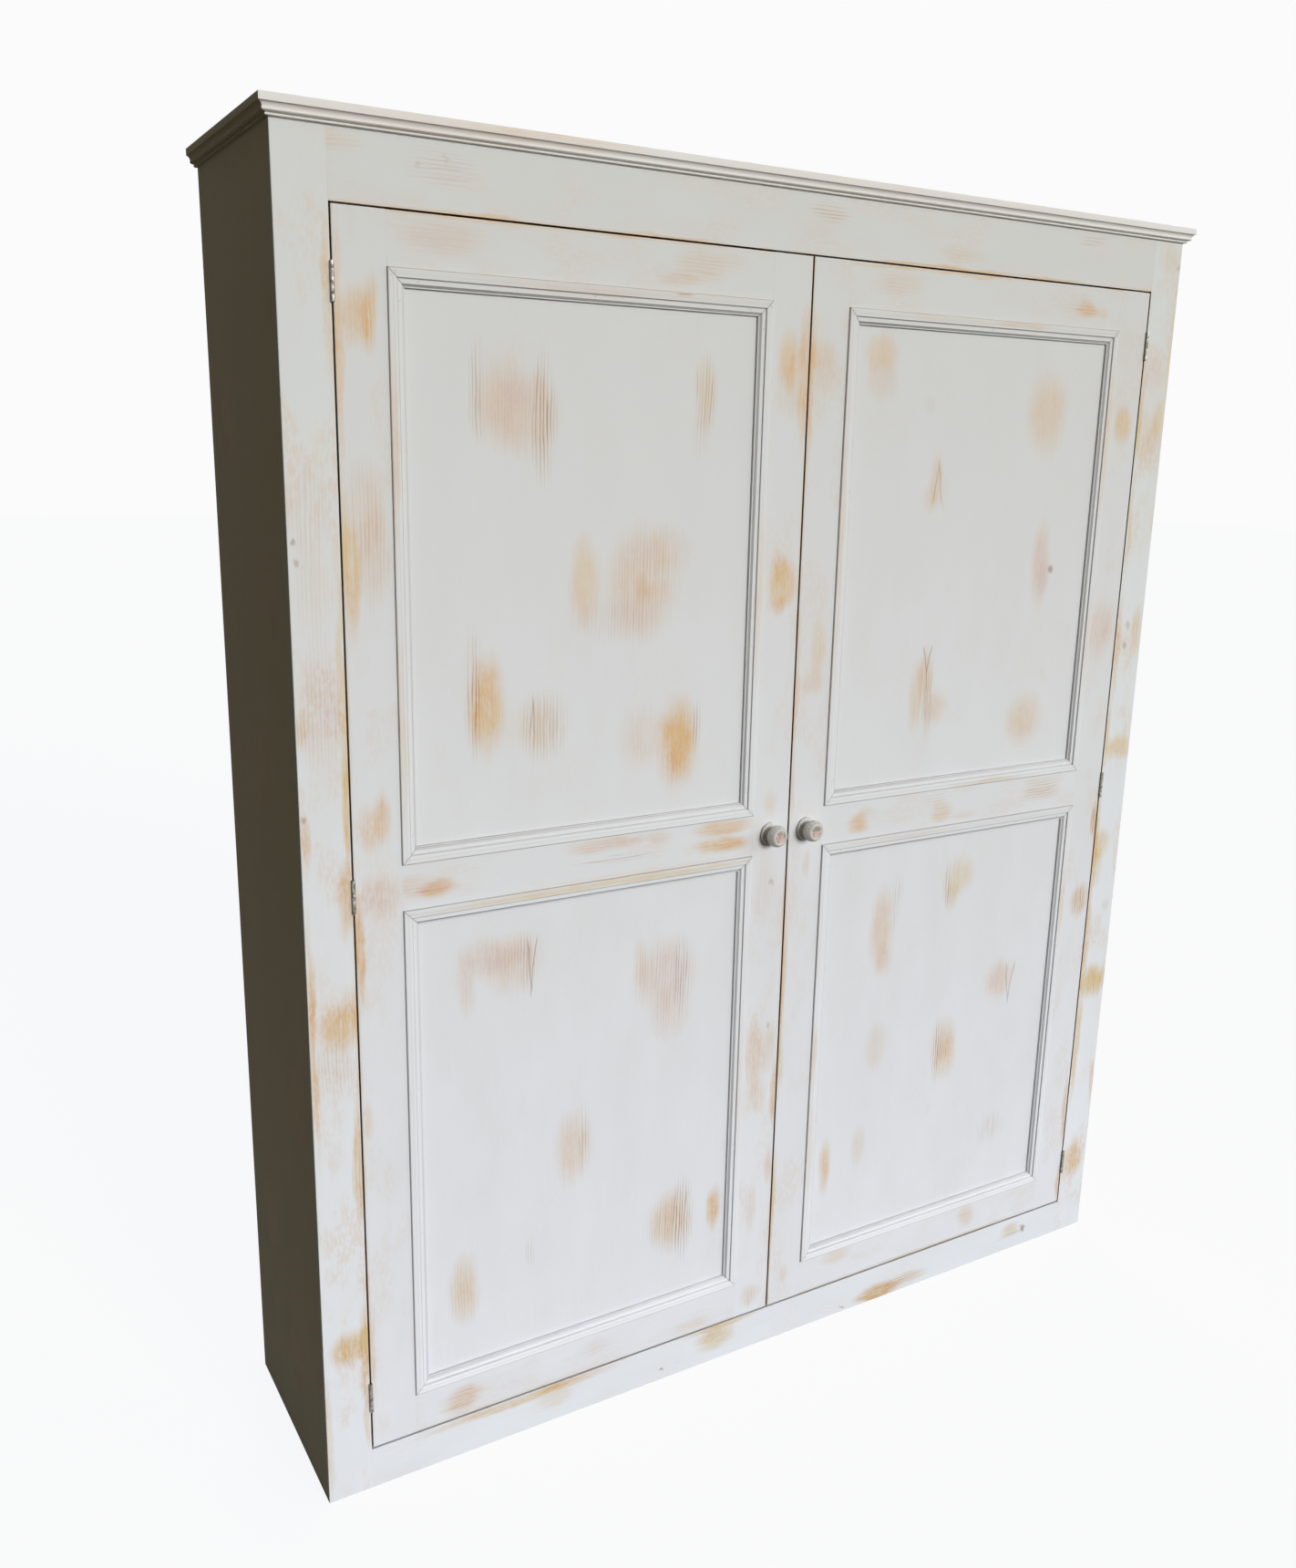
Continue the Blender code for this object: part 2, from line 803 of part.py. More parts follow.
def main():
    clear_scene()
    paint = make_material("rubbed_white_paint", (0.69, 0.70, 0.68), 0.62)
    pine = make_material("bare_pine", (0.62, 0.42, 0.23), 0.60)
    plywood = make_material("plywood", (0.58, 0.43, 0.27), 0.70)
    steel = make_material("dull_steel", (0.30, 0.28, 0.26), 0.42, 1.0)
    plastic = make_material("brown_plastic", (0.16, 0.09, 0.05), 0.45)
    for hand in hand_names:
        make_side(hand, paint)
    make_outer_boards(paint, plywood)
    make_inside(pine)
    make_face_frame(paint)
    make_cornice(paint)
    doors = {hand: make_door_pivot(hand) for hand in hand_names}
    for hand, door in doors.items():
        make_door_frame(hand, door, paint)
        make_panels(hand, door, paint)
        make_knob(hand, door, paint, steel)
        make_catch(hand, door, plastic, steel)
    make_hinges(doors, steel)
    bpy.context.view_layer.update()


main()
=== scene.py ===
import json
import math

import bmesh
import bpy
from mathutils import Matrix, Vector


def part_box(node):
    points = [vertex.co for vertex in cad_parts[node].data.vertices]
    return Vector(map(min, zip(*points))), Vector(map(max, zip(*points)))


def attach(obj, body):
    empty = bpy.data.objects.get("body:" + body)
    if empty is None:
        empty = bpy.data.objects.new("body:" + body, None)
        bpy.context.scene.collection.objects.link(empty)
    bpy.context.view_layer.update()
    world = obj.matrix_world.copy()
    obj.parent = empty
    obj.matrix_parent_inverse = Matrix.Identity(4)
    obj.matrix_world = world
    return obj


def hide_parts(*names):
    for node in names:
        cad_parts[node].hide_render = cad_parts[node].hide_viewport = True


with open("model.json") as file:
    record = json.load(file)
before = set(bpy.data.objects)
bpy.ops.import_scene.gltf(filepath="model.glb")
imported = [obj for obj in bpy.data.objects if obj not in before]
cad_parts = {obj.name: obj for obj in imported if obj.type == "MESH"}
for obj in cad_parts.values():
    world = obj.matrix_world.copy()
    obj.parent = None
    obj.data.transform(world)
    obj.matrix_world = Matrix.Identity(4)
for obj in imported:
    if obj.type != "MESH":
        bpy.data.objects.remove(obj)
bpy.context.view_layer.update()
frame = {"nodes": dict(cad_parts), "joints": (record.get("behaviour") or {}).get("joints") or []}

# Sides of the cupboard: the sign of x and the name of the door on it
hands = {-1: "left", 1: "right"}
bigStretch = 100.0  # flattens a pattern along an axis that it ignores
tiny = 0.00001
smoothAngle = 35  # degrees between two faces that still look smooth
turnedAngle = 40  # the same for a turned piece
alongX = (0.0, math.radians(90), 0.0)  # turns for a cylinder
alongY = (math.radians(90), 0.0, 0.0)

camera = {
    "lens": 30.894,
    "sensor": 36.0,
    "nearest": 0.05,
    "place": (-1.32448, -1.9493, 1.61453),
    "turn": (76.0909, -1.105, -30.2628),
}

light = {
    "key": {"from": (0.17, -0.93, 0.28), "strength": 2.62, "softness": 24},
    "side": {"from": (0.80, -0.50, 0.30), "strength": 0.90, "softness": 50},
    "back": {"from": (0.30, 0.90, 0.22), "strength": 2.4, "softness": 40},
    "distance": 6.0,
    "shade": (0.070, 0.053, 0.022),
    "backdrop": (0.965, 0.965, 0.965),
}

floor = {
    "size": 60.0,
    "glow": (0.903, 0.915, 0.939),
    "tone": (0.085, 0.070, 0.040),
}


class Wire:
    # One socket of a material, so that its sums can be written as Python sums
    def __init__(self, socket):
        self.socket = socket

    def node(self, kind, settings=None, values=None, output=0):
        tree = self.socket.id_data
        made = tree.nodes.new(kind)
        for name, value in (settings or {}).items():
            setattr(made, name, value)
        for name, value in (values or {}).items():
            if isinstance(value, Wire):
                tree.links.new(value.socket, made.inputs[name])
            else:
                made.inputs[name].default_value = value
        return Wire(made.outputs[output])

    def output(self, name):
        return Wire(self.socket.node.outputs[name])

    def split(self):
        # its parts are the outputs X, Y and Z
        return self.node("ShaderNodeSeparateXYZ", None, {"Vector": self})

    def math(self, operation, first, second=0.0):
        return self.node("ShaderNodeMath", {"operation": operation}, {0: first, 1: second})

    def __add__(self, other):
        return self.math("ADD", self, other)

    def __radd__(self, other):
        return self.math("ADD", other, self)

    def __sub__(self, other):
        return self.math("SUBTRACT", self, other)

    def __rsub__(self, other):
        return self.math("SUBTRACT", other, self)

    def __mul__(self, other):
        return self.math("MULTIPLY", self, other)

    def __abs__(self):
        return self.math("ABSOLUTE", self)

    def most(self, other):
        return self.math("MAXIMUM", self, other)

    def sine(self):
        return self.math("SINE", self)

    def fade(self, start, end, low=0.0, high=1.0):
        # goes softly from low to high while this value goes from start to end
        values = {"Value": self, "From Min": start, "From Max": end, "To Min": low, "To Max": high}
        return self.node("ShaderNodeMapRange", {"interpolation_type": "SMOOTHSTEP"}, values)

    def clamped(self):
        return self.node("ShaderNodeClamp", None, {"Value": self})

    def vector(self, operation, other=(0.0, 0.0, 0.0), third=(0.0, 0.0, 0.0)):
        values = {0: self, 1: other, 2: third}
        return self.node("ShaderNodeVectorMath", {"operation": operation}, values)

    def length(self):
        return self.node("ShaderNodeVectorMath", {"operation": "LENGTH"}, {0: self}, "Value")

    def fromMiddle(self, middle, size):
        # this place as seen from a middle, in sizes
        values = {"Vector": self, "Location": middle, "Scale": size}
        return self.node("ShaderNodeMapping", {"vector_type": "TEXTURE"}, values)

    def mix(self, first, second):
        # this value is the share of the second colour
        return self.node("ShaderNodeMix", {"data_type": "RGBA"}, {0: self, 6: first, 7: second}, 2)

    def noise(self, stretch, detail=2.0, output="Fac"):
        values = {"Vector": self.vector("MULTIPLY", stretch), "Scale": 1.0, "Detail": detail}
        return self.node("ShaderNodeTexNoise", None, values, output)


def rgba(colour):
    return (*colour, 1.0)


def newMaterial(name):
    material = bpy.data.materials.new(name)
    material.use_nodes = True
    return material


def objectPlace(material):
    nodes = material.node_tree.nodes
    return Wire(nodes.new("ShaderNodeTexCoord").outputs["Object"])


def finishMaterial(material, colour, roughness, height, relief, fixed=None):
    # joins the finished values to the shader; fixed holds the ones that don't vary
    tree = material.node_tree
    shader = tree.nodes["Principled BSDF"]
    tree.links.new(colour.socket, shader.inputs["Base Color"])
    tree.links.new(roughness.socket, shader.inputs["Roughness"])
    bump = height.node("ShaderNodeBump", None, {"Strength": 0.6, "Distance": relief, "Height": height})
    tree.links.new(bump.socket, shader.inputs["Normal"])
    for name, value in (fixed or {}).items():
        shader.inputs[name].default_value = value
    return material


# The finish: thin off-white paint on pine, rubbed back to the wood by hand.
paint = {
    # low and high are painted light and shade: lighter and bluer at the floor, darker and greyer near the
    # top, as the light falls on the front
    "low": (0.768, 0.800, 0.872),
    "high": (0.605, 0.615, 0.598),
    "shade": (0.560, 0.550, 0.525),
    "tan": (0.640, 0.425, 0.235),
    "pink": (0.585, 0.400, 0.340),
    "yellow": (0.640, 0.520, 0.290),
    "grain line": (0.235, 0.150, 0.090),
    "knot": (0.250, 0.180, 0.120),
    # colour of the painted shade and dirt in the mouldings' creases, also of the dark ring round the knobs'
    # caps
    "dirtAndShade": (0.235, 0.190, 0.145),
    # dark bare wood, darkened further to stand as painted shade on the narrow faces in the gaps
    "bare wood and gap shade": (0.125, 0.085, 0.052),
    "line pitch": 0.0054,
    "edge width": 0.0055,
    "patch fade": (1.45, 0.35),
    "knot length": 1.3,
    "arch line": (0.20, 0.06),
    "arch foot": (-0.15, 0.15),
    "mitre dirt": (0.0011, 0.0003),
    "span fade": 0.02,
    "roughness": 0.68,
    "worn roughness": 0.55,
    "matt": 0.05,
    "relief": 0.00035,
}

# Which way each axis of a board runs: across the grain, through the board, along the grain
uprightGrain = "xyz"
railGrain = "zyx"
sideGrain = "yxz"
returnGrain = "zxy"
topGrain = "yzx"


def axisPlace(place, order):
    # the object coordinates with the grain along z
    split = place.split()
    parts = [split.output(axis.upper()) for axis in order]
    return place.node("ShaderNodeCombineXYZ", None, dict(enumerate(parts))), parts


def onAxes(order, across, through, along):
    # a vector given by grain directions, in object coordinates
    vector = [0.0, 0.0, 0.0]
    for axis, value in zip(order, (across, through, along)):
        vector["xyz".index(axis)] = value
    return tuple(vector)


def flatPlace(order, first, second, spare):
    # a point or size on a board's face: x and z, y and z on a side, or x and y on the top
    values = [first, second]
    values.insert("xyz".index(order[1]), spare)
    return tuple(values)


def patchPlace(place, order, first, second, halfFirst, halfSecond):
    middle = flatPlace(order, first, second, 0.0)
    return place.fromMiddle(middle, flatPlace(order, halfFirst, halfSecond, bigStretch))


def patchShape(place, order, *spot):
    # 1 in the middle of a rubbed place and 0 outside it, softly
    return patchPlace(place, order, *spot).length().fade(*paint["patch fade"])


def rubbedPlaces(ragged, order, patches):
    # sums how far the paint is rubbed, its tint and its grain lines over all the patches
    total = ragged.vector("MULTIPLY")
    for *spot, amount, tint, lines in patches:
        shape = patchShape(ragged, order, *spot)
        total = shape.vector("MULTIPLY_ADD", (amount, tint, lines), total)
    return total.split()


def knotMarks(place, order, knots):
    total = None
    for first, second, radius, strength in knots:
        mark = patchShape(place, order, first, second, radius, radius * paint["knot length"]) * strength
        total = mark if total is None else total.most(mark)
    return total


def archLines(place, order, arches):
    # pointed grain arches; a negative height turns them upside down
    total = None
    for *spot, strength in arches:
        split = patchPlace(place, order, *spot).split()
        across, along = (split.output(order[number].upper()) for number in (0, 2))
        leg = abs(abs(across) + along - 1.0).fade(*paint["arch line"])
        arch = leg * along.fade(*paint["arch foot"]) * strength
        total = arch if total is None else total.most(arch)
    return total


def creaseLines(place, box, creases, mitre):
    # painted shade and dirt in the creases at set distances in from the outer side of a ring, and dirt
    # along its mitres
    split = place.split()
    sides = [("X", box[0].x, box[1].x), ("Z", box[0].z, box[1].z)]
    fromSide = [(high - low) / 2 - abs(split.output(way) - (low + high) / 2) for way, low, high in sides]
    into = fromSide[0].math("MINIMUM", fromSide[0], fromSide[1])
    total = abs(fromSide[0] - fromSide[1]).fade(*paint["mitre dirt"]) * mitre
    for distance, width, strength in creases:
        total = total.most(abs(into - distance).fade(width, width * 0.3) * strength)
    return total


def paintedWood(name, order, box, patches=(), knots=(), arches=(), edges=(0.12, 0.12), span=None,
                facing=-1, creases=(), mitre=0.0, tone=None, thin=0.0):
    material = newMaterial(name)
    place = objectPlace(material)
    grain, (across, through, along) = axisPlace(place, order)
    blot = grain.noise((14.0, 14.0, 5.0), 2.0)
    cloud = grain.noise((55.0, 55.0, 28.0), 3.0)
    streak = grain.noise((420.0, 420.0, 12.0), 3.0)
    fleck = grain.noise((260.0, 260.0, 95.0), 3.0)
    strand = grain.noise((120.0, 60.0, 9.0), 2.0)
    haze = grain.noise((19.0, 19.0, 10.0), 4.0)
    pore = grain.noise((900.0, 900.0, 55.0), 1.0)

    sway = place.noise(onAxes(order, 30.0, 30.0, 14.0), 2.0, "Color").vector("SUBTRACT", (0.5, 0.5, 0.5))
    swayed = sway.vector("MULTIPLY_ADD", onAxes(order, 0.015, 0.0, 0.024), place)
    pull = (streak - 0.5) * 0.3 + (strand - 0.5) * 0.6
    ragged = pull.vector("MULTIPLY_ADD", onAxes(order, 0.002, 0.0, 0.030), swayed)
    worn = rubbedPlaces(ragged, order, patches)
    amount, tint, lines = (worn.output(axis) for axis in "XYZ")

    # wear along the two long edges, in stretches
    axis = "xyz".index(order[0])
    low, high = box[0][axis], box[1][axis]
    gate = blot.fade(0.40, 0.62, 0.15, 1.0)
    width = paint["edge width"]
    edge = across.fade(low + width, low, 0.0, edges[0]) + across.fade(high - width, high, 0.0, edges[1])
    edge = edge * gate
    if span:
        start, end = span
        fade = paint["span fade"]
        edge = edge * along.fade(start, start + fade) * along.fade(end, end - fade)

    # patches belong to the face that is seen; the boards' other faces keep plain paint, except the narrow
    # faces along the long edges, which turn dark with bare wood and painted gap shade
    normal = place.output("Normal").split()
    outward = (normal.output(order[1].upper()) * facing).fade(0.1, 0.7)
    middle = (low + high) / 2
    gapFaceWoodAndShade = abs(normal.output(order[0].upper())).fade(0.5, 0.8)
    gapFaceWoodAndShade = gapFaceWoodAndShade * across.fade(middle - 0.001, middle + 0.001, edges[0], edges[1])

    comb = (across * (math.tau / paint["line pitch"]) + (strand * 8.0 + blot * 16.0)).sine()
    mottle = streak.fade(0.30, 0.70, 0.0, 0.34) + fleck.fade(0.34, 0.66, 0.0, 0.24) + cloud * 0.80
    veil = haze.fade(0.45, 0.66, 0.0, thin) * fleck.fade(0.36, 0.62, 0.25, 1.45)
    rub = (amount * (mottle + 0.34) + veil - comb.fade(-0.1, -0.9) * lines * 0.22) * outward
    rub = (rub + edge * (streak * 0.8 + 0.6)).clamped()
    tint = tint + (cloud - 0.5) * 1.6 * amount + (haze - 0.60) * 2.0
    line = comb.fade(0.40, 0.95) * streak.fade(0.28, 0.58, 0.30, 1.0) * lines * outward
    if arches:
        line = line.most(archLines(swayed, order, arches) * outward)

    # painted light and shade: the colour runs from low at the floor to high near the top
    heightShare = place.split().output("Z") * 0.5
    colour = heightShare.clamped().mix(rgba(paint["low"]), rgba(paint["high"]))
    colour = (blot * 0.30 + streak * 0.12 - 0.12).clamped().mix(colour, rgba(paint["shade"]))
    # tone multiplies the colour: painted light on the mouldings and the cornice front, painted shade on the
    # cornice returns and the left side
    if tone:
        colour = colour.vector("MULTIPLY", tone)
    wood = tint.clamped().mix(rgba(paint["tan"]), rgba(paint["pink"]))
    wood = (tint * -1.0).clamped().mix(wood, rgba(paint["yellow"]))
    colour = rub.mix(colour, wood)
    colour = (line * 0.60).clamped().mix(colour, rgba(paint["grain line"]))
    # painted shade and dirt: dark lines in the mouldings' creases, and dirt along their mitres
    if creases:
        dirtAndShade = creaseLines(place, box, creases, mitre) * (0.55 + cloud * 0.9) * outward
        colour = dirtAndShade.clamped().mix(colour, rgba(paint["dirtAndShade"]))
    if knots:
        colour = (knotMarks(ragged, order, knots) * outward).mix(colour, rgba(paint["knot"]))
    # narrow faces along the long edges: bare wood, darkened as painted shade in the gaps
    colour = (gapFaceWoodAndShade * 1.8).clamped().mix(colour, rgba(paint["bare wood and gap shade"]))

    polish = paint["worn roughness"] - paint["roughness"]
    roughness = rub * polish + (streak * 0.12 + paint["roughness"] - 0.06)
    height = streak * 0.25 + pore * 0.2 + blot * 0.6 + cloud * 0.3 - line * 0.8 - rub * 0.25
    fixed = {"Specular IOR Level": paint["matt"]}
    return finishMaterial(material, colour, roughness, height, paint["relief"], fixed)


bareLook = {
    "pine": {"base": (0.640, 0.455, 0.255), "late": (0.440, 0.255, 0.115), "pitch": 0.0062},
    "plywood": {"base": (0.560, 0.420, 0.265), "late": (0.450, 0.310, 0.175), "pitch": 0.0170},
}


def bareWood(name, look, order):
    values = bareLook[look]
    material = newMaterial(name)
    grain, (across, through, along) = axisPlace(objectPlace(material), order)
    blot = grain.noise((9.0, 9.0, 2.2), 2.0)
    streak = grain.noise((300.0, 300.0, 7.0), 3.0)
    pore = grain.noise((1100.0, 1100.0, 45.0), 1.0)
    phase = across * (math.tau / values["pitch"]) + (blot * 34.0 + streak * 1.6)
    late = phase.sine().fade(-0.2, 1.0)
    colour = (late * 0.55 * blot.fade(0.25, 0.7) + streak * 0.18).clamped()
    colour = colour.mix(rgba(values["base"]), rgba(values["late"]))
    colour = (pore.fade(0.60, 0.75) * 0.35).mix(colour, rgba(values["late"]))
    roughness = streak * 0.15 + 0.50
    height = streak * 0.4 + pore * 0.3 - late * 0.4
    return finishMaterial(material, colour, roughness, height, 0.0003, {"Specular IOR Level": 0.3})


steelLook = {"steel": (0.320, 0.315, 0.300), "tarnish": (0.150, 0.125, 0.095)}


def dullSteel(name):
    material = newMaterial(name)
    place = objectPlace(material)
    cloud = place.noise((210.0, 210.0, 210.0), 3.0)
    scratch = place.noise((90.0, 900.0, 1500.0), 2.0)
    mask = cloud.fade(0.42, 0.66)
    colour = mask.mix(rgba(steelLook["steel"]), rgba(steelLook["tarnish"]))
    roughness = mask * 0.16 + (scratch * 0.14 + 0.40)
    height = scratch * 0.5 + cloud * 0.5
    return finishMaterial(material, colour, roughness, height, 0.00006, {"Metallic": 1.0})


plasticLook = {"body": (0.140, 0.078, 0.042), "scuffed": (0.235, 0.150, 0.095)}


def mouldedPlastic(name):
    material = newMaterial(name)
    place = objectPlace(material)
    skin = place.noise((1400.0, 1400.0, 1400.0), 1.0)
    cloud = place.noise((160.0, 160.0, 160.0), 2.0)
    colour = cloud.fade(0.45, 0.75, 0.0, 0.5).mix(rgba(plasticLook["body"]), rgba(plasticLook["scuffed"]))
    roughness = cloud * 0.2 + 0.32
    return finishMaterial(material, colour, roughness, skin, 0.00005)


# Modelling helpers
def clearSelection():
    if bpy.context.mode != "OBJECT":
        bpy.ops.object.mode_set(mode="OBJECT")
    bpy.ops.object.select_all(action="DESELECT")


def makeActive(item):
    clearSelection()
    bpy.context.view_layer.objects.active = item
    item.select_set(True)
    return item


def editAll(item):
    makeActive(item)
    bpy.ops.object.mode_set(mode="EDIT")
    bpy.ops.mesh.select_mode(type="VERT")
    bpy.ops.mesh.select_all(action="SELECT")


def pickParts(kind, test):
    # selects the faces or the edges that pass, of the piece in edit mode
    bpy.ops.mesh.select_all(action="DESELECT")
    bpy.ops.mesh.select_mode(type=kind)
    mesh = bpy.context.object.data
    shape = bmesh.from_edit_mesh(mesh)
    for part in shape.faces if kind == "FACE" else shape.edges:
        part.select_set(test(part))
    bmesh.update_edit_mesh(mesh)


def bevelPicked(width, segments):
    bpy.ops.mesh.bevel(offset=width, segments=segments, profile=0.5, affect="EDGES")
    bpy.ops.object.mode_set(mode="OBJECT")


def applyPlace():
    bpy.ops.object.transform_apply(location=True, rotation=True, scale=True)


def closeUp(item, angle=smoothAngle):
    # merges doubles, turns the faces outwards and settles the place into the mesh
    editAll(item)
    bpy.ops.mesh.remove_doubles(threshold=tiny)
    bpy.ops.mesh.normals_make_consistent(inside=False)
    bpy.ops.object.mode_set(mode="OBJECT")
    applyPlace()
    bpy.ops.object.shade_smooth_by_angle(angle=math.radians(angle))
    return item


def drawOutline(name, points):
    # grows one corner after another from a single vertex and fills the outline
    clearSelection()
    bpy.ops.mesh.primitive_plane_add(size=0.01, location=points[0])
    item = bpy.context.object
    item.name = name
    bpy.ops.object.mode_set(mode="EDIT")
    bpy.ops.mesh.select_all(action="SELECT")
    bpy.ops.mesh.merge(type="CENTER")
    for here, there in zip(points, points[1:]):
        step = Vector(there) - Vector(here)
        bpy.ops.mesh.extrude_region_move(TRANSFORM_OT_translate={"value": step})
    bpy.ops.mesh.select_all(action="SELECT")
    bpy.ops.mesh.edge_face_add()
    return item


def pushOut(offset):
    # gives the filled outline in edit mode its length or thickness
    bpy.ops.mesh.select_all(action="SELECT")
    bpy.ops.mesh.extrude_region_move(TRANSFORM_OT_translate={"value": Vector(offset)})
    bpy.ops.mesh.select_all(action="SELECT")
    bpy.ops.mesh.normals_make_consistent(inside=False)


def sliceOff(point, direction):
    # cuts away what lies beyond the plane, on the side that direction points to
    bpy.ops.mesh.select_all(action="SELECT")
    bpy.ops.mesh.bisect(
        plane_co=point, plane_no=direction, use_fill=True, clear_outer=True, threshold=tiny
    )


def turnOnLathe(name, points, steps):
    # a turned piece round the y axis; the points are radius and place along it
    item = drawOutline(name, [(radius, along, 0.0) for radius, along in points])
    bpy.ops.mesh.delete(type="ONLY_FACE")
    bpy.ops.mesh.select_all(action="SELECT")
    bpy.ops.mesh.spin(steps=steps, angle=math.tau, center=(0.0, 0.0, 0.0), axis=(0.0, 1.0, 0.0))
    return closeUp(item, turnedAngle)


def addCylinder(name, radius, depth, middle, turn=(0.0, 0.0, 0.0), corners=24, soft=0.0):
    clearSelection()
    bpy.ops.mesh.primitive_cylinder_add(
        vertices=corners, radius=radius, depth=depth, location=middle, rotation=turn
    )
    item = bpy.context.object
    item.name = name
    applyPlace()
    if soft:
        rimLength = 1.5 * math.tau * radius / corners
        editAll(item)
        pickParts("EDGE", lambda edge: edge.calc_length() < rimLength)
        bevelPicked(soft, 2)
    return item


def addBlock(name, low, high, soft=0.0, softTest=None):
    low, high = Vector(low), Vector(high)
    clearSelection()
    bpy.ops.mesh.primitive_cube_add(size=1.0, location=(low + high) / 2, scale=high - low)
    item = bpy.context.object
    item.name = name
    applyPlace()
    if soft:
        editAll(item)
        pickParts("EDGE", softTest or (lambda edge: True))
        bevelPicked(soft, 2)
    return item


def joinAll(items):
    makeActive(items[0])
    for item in items:
        item.select_set(True)
    bpy.ops.object.join()
    return items[0]


def shapeWith(item, tool, operation):
    # adds or takes away another solid, which is then gone
    makeActive(item)
    bpy.ops.object.modifier_add(type="BOOLEAN")
    modifier = item.modifiers[-1]
    modifier.operation = operation
    modifier.object = tool
    modifier.solver = "EXACT"
    bpy.ops.object.modifier_apply(modifier=modifier.name)
    removePiece(tool)
    return item


def copyPiece(item, name):
    made = item.copy()
    made.data = item.data.copy()
    made.name = name
    bpy.context.scene.collection.objects.link(made)
    return made


def turnPiece(item, degrees, axis):
    # a turn about the origin, following the right hand round the axis
    makeActive(item)
    item.rotation_euler = [math.radians(degrees) if name == axis else 0.0 for name in "XYZ"]
    applyPlace()


def movePiece(item, offset):
    makeActive(item)
    bpy.ops.transform.translate(value=offset)
    applyPlace()


def settle(item, material, body, slot, *nodes):
    item.data.materials.clear()
    item.data.materials.append(material)
    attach(item, body)
    if nodes:
        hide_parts(*nodes)


def removePiece(item):
    bpy.data.objects.remove(item, do_unlink=True)


def arcPoints(centre, radii, start, end, steps):
    (x, y), (wide, tall) = centre, radii
    turns = [math.radians(start + (end - start) * step / steps) for step in range(steps + 1)]
    return [(x + wide * math.cos(turn), y + tall * math.sin(turn)) for turn in turns]


def bowedPoints(start, end, first, last, steps):
    # points from start to end on the part of an ellipse between two angles
    turns = [(math.cos(math.radians(angle)), math.sin(math.radians(angle))) for angle in (first, last)]
    radii = [(end[i] - start[i]) / (turns[1][i] - turns[0][i]) for i in (0, 1)]
    centre = [end[i] - radii[i] * turns[1][i] for i in (0, 1)]
    return arcPoints(centre, radii, first, last, steps)


def seenRays(tree):
    # 1 for what the camera sees, straight on or mirrored, and 0 for what only lights the piece
    seen = Wire(tree.nodes.new("ShaderNodeLightPath").outputs["Is Camera Ray"])
    return seen.most(seen.output("Is Glossy Ray")).most(seen.output("Is Transmission Ray"))


# Camera, lights and floor
def makeStage():
    bpy.ops.object.camera_add(
        location=camera["place"], rotation=[math.radians(angle) for angle in camera["turn"]]
    )
    eye = bpy.context.object
    eye.data.lens = camera["lens"]
    eye.data.sensor_width = camera["sensor"]
    eye.data.clip_start = camera["nearest"]
    eye.data.dof.use_dof = False
    bpy.context.scene.camera = eye
    bpy.context.scene.view_settings.view_transform = "Standard"
    for lamp in ("key", "side", "back"):
        values = light[lamp]
        direction = Vector(values["from"]).normalized()
        bpy.ops.object.light_add(type="SUN", location=direction * light["distance"])
        sun = bpy.context.object
        sun.name = lamp + " light"
        sun.rotation_euler = direction.to_track_quat("Z", "Y").to_euler()
        sun.data.energy = values["strength"]
        sun.data.angle = math.radians(values["softness"])
    world = bpy.data.worlds.new("studio")
    bpy.context.scene.world = world
    world.use_nodes = True
    tree = world.node_tree
    tone = seenRays(tree).mix(rgba(light["shade"]), rgba(light["backdrop"]))
    tree.links.new(tone.socket, tree.nodes["Background"].inputs["Color"])
    clearSelection()
    bpy.ops.mesh.primitive_plane_add(size=floor["size"])
    ground = bpy.context.object
    ground.name = "studio_floor"
    material = newMaterial("pale floor")
    tree = material.node_tree
    seen = seenRays(tree)
    glow = seen.node("ShaderNodeEmission", None, {"Color": rgba(floor["glow"]), "Strength": seen})
    matt = seen.node("ShaderNodeBsdfDiffuse", None, {"Color": rgba(floor["tone"])})
    both = glow.node("ShaderNodeAddShader", None, {0: glow, 1: matt})
    tree.links.new(both.socket, tree.nodes["Material Output"].inputs["Surface"])
    ground.data.materials.append(material)


makeStage()
print("camera, lights and floor are set")

